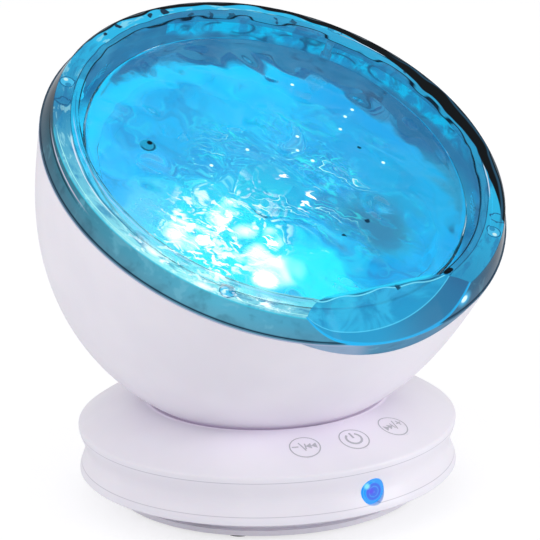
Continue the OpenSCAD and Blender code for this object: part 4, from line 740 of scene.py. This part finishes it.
# painted shade and light on the ring: dark swirls, dark rings, the clear posts under it drawn with painted
# shade and highlights, and spots of glare
for at, out, size in ((-176, 60.2, 1.1), (-171, 59.7, 0.8), (-160, 60.7, 0.9), (-154, 60.9, 0.7),
                      (112, 57.3, 0.8), (147, 56.8, 1.0), (152, 56.4, 0.8), (165, 56.0, 1.2),
                      (172, 56.4, 1.2), (178, 55.9, 0.9)):
    over(between(apart(bent, round_point(at, out)), size * 1.25, size * 0.8), "05080E")
for at, out, size in ((-122, 60.4, 3.0), (52, 60.2, 3.2)):
    off = apart(bent, round_point(at, out))
    over(line(off, size * 0.6, 0.35, 0.3), "1C5480")
for at, out in ((-130, 60.2), (135, 59.9), (46, 59.9), (-44, 60.2)):
    off = apart(place, round_point(at, out))
    over(between(off, 2.3, 2.1, (0.0, 0.9)), "145C88")
    over(between(off, 1.95, 1.75), "4CC4F0")
    over(between(apart(place, round_point(at + 1, out - 0.5)), 1.0, 0.7), "2890C0")
    over(between(apart(place, round_point(at - 0.8, out + 0.6)), 0.8, 0.4), "D8FFFF")
# painted black shade outside dark_from, two painted lines near the edge, and painted rays and streaks of
# glare
over(dark, "010204")
over(times(line(waver, 61.3, 0.5, 0.35), arc(50, 116, 5)), "27506A")
over(times(line(waver, 62.2, 0.2, 0.15), most(arc(60, 200, 8), arc(-200, -150, 8))), "5A6872")
ray = noise(point(angle, times(r, 1.6)), 0.3, 3, 0.65, 0.5)
ray = times(between(ray, 0.5, 0.72), arc(-72, -30, 6), between(math("ABSOLUTE", minus(r, 60.6)), 3.4, 0.6))
painted_light = mix(ray, painted_light, tone("F4FFFF", 1.5))
for at, out in ((-65.0, 59.8), (-49.7, 61.8)):
    glare = line(math("MULTIPLY_ADD", streak, 1.5, r), out + 0.75, 0.9, 1.3)
    glare = times(line(angle, at, 1.6, 3.0), glare)
    over(times(glare, between(streak, 0.36, 0.5, (0.35, 1.0))), "F0FFFF", 1.5)

# the flat hollow at the front, painted with light and shade in two tones parted by a curved line, with
# painted light and dark lines along its top edge and a painted dark spot: it falls towards the front by
# hollow_slope from hollow_y on, and is straight between the ends, which turn up in arcs of end_r
hollow_y, hollow_slope, hollow_cos, straight, end_r = 51.5, 0.5543, 0.8746, 16.0, 20.0
end = most(minus(math("ABSOLUTE", x), straight), 0.0)
end = minus(end_r, math("SQRT", most(minus(end_r**2, times(end, end)), 0.0)))
lift = minus(h, math("MULTIPLY_ADD", y, hollow_slope, top_h + hollow_y * hollow_slope))
lift = times(lift, hollow_cos)
hollow = times(between(math("ABSOLUTE", minus(lift, end)), 0.3, 0.15), between(y, -50.6, -51.2),
               between(h, 21.1, 21.0))
bow, bow_r = apart(point(x, y), (-5.4, -12.8, 0)), 48.3
soft = noise(place, 0.12, 3, 0.5, 0.8)
hollow_painted_light = mix(between(soft, 0.4, 0.62), tone("3AB4E2"), tone("2A90C4"))
hollow_painted_light = mix(between(x, 4, 18, (0.0, 0.5)), hollow_painted_light, tone("2A8CBC"))
below = mix(between(x, -8, 14), tone("3092C4"), tone("34648E"))
hollow_painted_light = mix(between(bow, bow_r, bow_r + 0.3), hollow_painted_light, below)
hollow_painted_light = mix(times(line(bow, bow_r, 0.1, 0.15), 0.7), hollow_painted_light, tone("6CE0FF"))
wavy_y = math("MULTIPLY_ADD", sway, 1.5, y)
hollow_painted_light = mix(line(wavy_y, -52.2, 0.16, 0.14), hollow_painted_light, tone("175070"))
hollow_painted_light = mix(line(wavy_y, -52.6, 0.12, 0.12), hollow_painted_light, tone("90F0FF"))
rim = minus(math("MULTIPLY_ADD", minus(top_h, h), 0.33, top_r), r)
hollow_painted_light = mix(between(rim, 0.55, 0.25), hollow_painted_light, tone("2CB0F0"))
over(hollow, hollow_painted_light)
over(times(hollow, between(apart(bent, (5.2, -53.0, 20.4)), 1.1, 0.7)), "10303C")
# painted shade: a dark wedge at the right end of the hollow, an ellipse about clip_x, clip_y in a sheared
# frame
clip_x, clip_y = 21.5, -51.8
sheared = point(math("MULTIPLY_ADD", x, 0.6, times(y, 0.25)), math("MULTIPLY_ADD", y, 1.2, times(x, -0.25)))
clip = apart(sheared, (clip_x * 0.6 + clip_y * 0.25, clip_y * 1.2 - clip_x * 0.25, 0))
clip = between(clip, 1.2, 0.9)
over(clip, "060A10")

# the side band, painted light and shade: dark to the left and behind, grey-blue in front, with painted
# streaks, highlight lines, a painted glint and a thin foot line
down = between(h, top_h, 14.0, soft=False)
upper = by_turn((-125, painted_shade_dark), (-45, "58B0CC"), (5, steel), (45, painted_shade_dark))
lower = mix(0.25, upper, tone("6C8090"))
side_painted_light = mix(between(down, 0.25, 0.75), upper, lower)
front = arc(-112, 30, 6)
side_painted_light = mix(times(between(streak, 0.5, 0.7), front, 0.3), side_painted_light, tone("12283C"))
side_painted_light = mix(times(between(streak, 0.44, 0.34), front, 0.3), side_painted_light, tone("7FC4D8"))
side_painted_light = mix(times(line(down, 0.04, 0.06, 0.04), arc(-112, 8)), side_painted_light, tone("3CC8E0"))
for slant, at, wide, blur, span, color in ((-0.004, 0.66, 0.02, 0.03, (-110, -88, 6), "D8CCE0"),
                                           (-0.005, 0.85, 0.03, 0.04, (-120, -90, 6), "060C14")):
    slanted = line(math("MULTIPLY_ADD", angle, slant, down), at, wide, blur)
    side_painted_light = mix(times(slanted, arc(*span)), side_painted_light, tone(color))
side_painted_light = mix(times(line(down, 0.88, 0.05, 0.04), arc(-118, 40)), side_painted_light, tone("0E1C30"))
side_painted_light = mix(times(line(down, 0.97, 0.05, 0.04), arc(-122, -8)), side_painted_light, tone("A8B0CC"))
glint = apart(point(times(angle, 1.1), times(h, 1.6)), (21.9 * 1.1, 17.5 * 1.6, 0))
side_painted_light = mix(between(glint, 4.0, 1.2, (0.0, 0.8)), side_painted_light, tone("4CC0F4"))
side_painted_light = mix(between(glint, 1.8, 0.8), side_painted_light, tone("D8F8FF", 1.2))
inside = cover.add("ShaderNodeNewGeometry").outputs["Backfacing"]
# painted light on the band's back faces, seen through the cover: a mottled blue glow, darker lower down
far_wall_painted_light = mix(between(noise(place, 0.2, 3, 0.6, 0.6), 0.4, 0.6), tone("22B4F0"), tone("2F7CB4"))
far_wall_painted_light = mix(between(down, 0.3, 0.6, (0.0, 0.6)), far_wall_painted_light, tone("2E6C9C"))
# painted light and shade on the clear window: a cyan glow, painted shade patches, curled lines, white-hot
# cells, painted glints, dark specks and a bead
level_place = point(x, y, window_h)
window = times(between(r, 54.8, 53.8), between(h, 20.6, 21.0))
over(window, "30D8FF")
marks = 0.0


def mark(share, color, strength=1.0):
    """Paints a mark on the window, as opaque as its share."""
    global marks
    over(share, color, strength)
    marks = most(marks, share)


flow = along_flow(cover, bent, 2.2)
mark(between(apart(level_place, (-11.1, -14.0, window_h)), 13, 8, (0.0, 0.62)), "22A8E0")
painted_shade_patch = between(noise(flow, 0.2, 2), 0.34, 0.5)
mark(times(between(apart(bent, (9.4, -32.8, window_h)), 15, 6), painted_shade_patch, 0.8), "3C6C98")
mark(between(apart(bent, (30.5, -22.9, window_h)), 22, 8, (0.0, 0.36)), "2488BC")
curl = noise(flow, 0.12, 1, 0.4, 0.7)
fold = math("FRACT", times(curl, 9.0))
patchy = between(noise(flow, 0.12, 1), 0.42, 0.58)
middle = between(apart(level_place, (-5.6, -10.5, window_h)), 31, 17)
lower_left = between(apart(level_place, (-36.3, -24.9, window_h)), 22, 13)
middle = most(times(middle, patchy), times(lower_left, 0.5))
mark(times(line(fold, 0.2, 0.1, 0.1), middle, 0.7), "1A84C0")
mark(times(line(fold, 0.5, 0.12, 0.14), middle, 0.9), "40F0F8")
mark(times(line(fold, 0.5, 0.03, 0.05), middle, between(curl, 0.5, 0.6)), "E8FFFF")
mark(times(between(noise(flow, 0.5, 2, 0.5, 0.6), 0.58, 0.66), lower_left, 0.9), "F0FFFF", 1.2)
ragged = between(noise(flow, 0.45, 3, 0.6, 0.8), 0.36, 0.64, (0.45, 1.9))
for spot_x, spot_y, size in (
        (-43.3, -15.6, 1.9), (-45.9, -21.0, 2.0), (-30.2, -19.9, 2.2), (-32.2, -22.8, 1.8),
        (-38.9, -25.7, 2.0), (-36.7, -31.9, 2.2), (-34.9, -20.7, 1.3), (-41.5, -36.3, 1.8),
        (-40.3, -20.1, 1.4), (-33.7, -35.2, 1.6), (-21.7, -30.7, 1.6), (-5.9, -20.7, 1.3),
        (-2.0, -18.4, 1.1), (-5.8, -9.7, 0.9), (-43.1, -28.4, 1.3), (-31.2, -28.7, 1.2)):
    off = times(apart(bent, (spot_x, spot_y, window_h)), ragged)
    mark(between(off, size * 1.3, size * 0.5), "FFFFFF", 1.5)
hot = apart(level_place, (-29.3, -41.9, window_h))
mark(between(hot, 8.0, 1.0, (0.0, 0.75)), "9CFCFF", 1.2)
mark(between(math("MULTIPLY_ADD", ragged, 0.7, hot), 5.2, 3.0), "FFFFFF", 1.6)
for spot in ((28.5, 10.3), (20.5, 3.7), (24.8, 8.1), (6.4, 3.6), (5.7, -6.0), (-10.4, 2.1), (-23.3, -1.0),
             (25.8, -10.9), (16.4, 23.3), (3.5, -1.4)):
    mark(between(apart(level_place, (*spot, window_h)), 0.8, 0.25), "D8FFFF", 1.4)
for spot in ((21.6, -4.3), (-0.7, -33.1), (8.9, -30.0)):
    mark(between(apart(bent, (*spot, window_h)), 0.9, 0.5), "06304C")
bead = apart(level_place, (-36.5, 10.3, window_h))
mark(between(bead, 2.4, 2.1, (0.0, 0.8)), "1A86B0")
mark(times(line(bead, 1.8, 0.4, 0.3), between(y, 11.5, 9.7)), "063450")
mark(between(apart(level_place, (-35.5, 11.2, window_h)), 1.0, 0.6), "02141E")
marks = times(marks, window)
side = most(times(between(h, 21.0, 20.7), between(r, 61.9, 62.2)), between(r, 62.42, 62.5))
side = times(side, minus(1.0, hollow))
painted_light = mix(side, painted_light, mix(inside, side_painted_light, far_wall_painted_light))
veil = most(times(past_in, 0.6), times(past_out, 0.85))
veil = most(veil, times(line_in, 0.95), dark)
veil = most(times(veil, on_top), marks)
veil = most(veil, times(side, 0.97), times(hollow, 0.85))
veil = most(veil, times(clip, on_top))
cover.set(**{"Base Color": tone("02080C"), "Emission Color": painted_light, "Emission Strength": 1.0,
             "Alpha": most(0.03, veil)})
give(cover, "cover_lens")
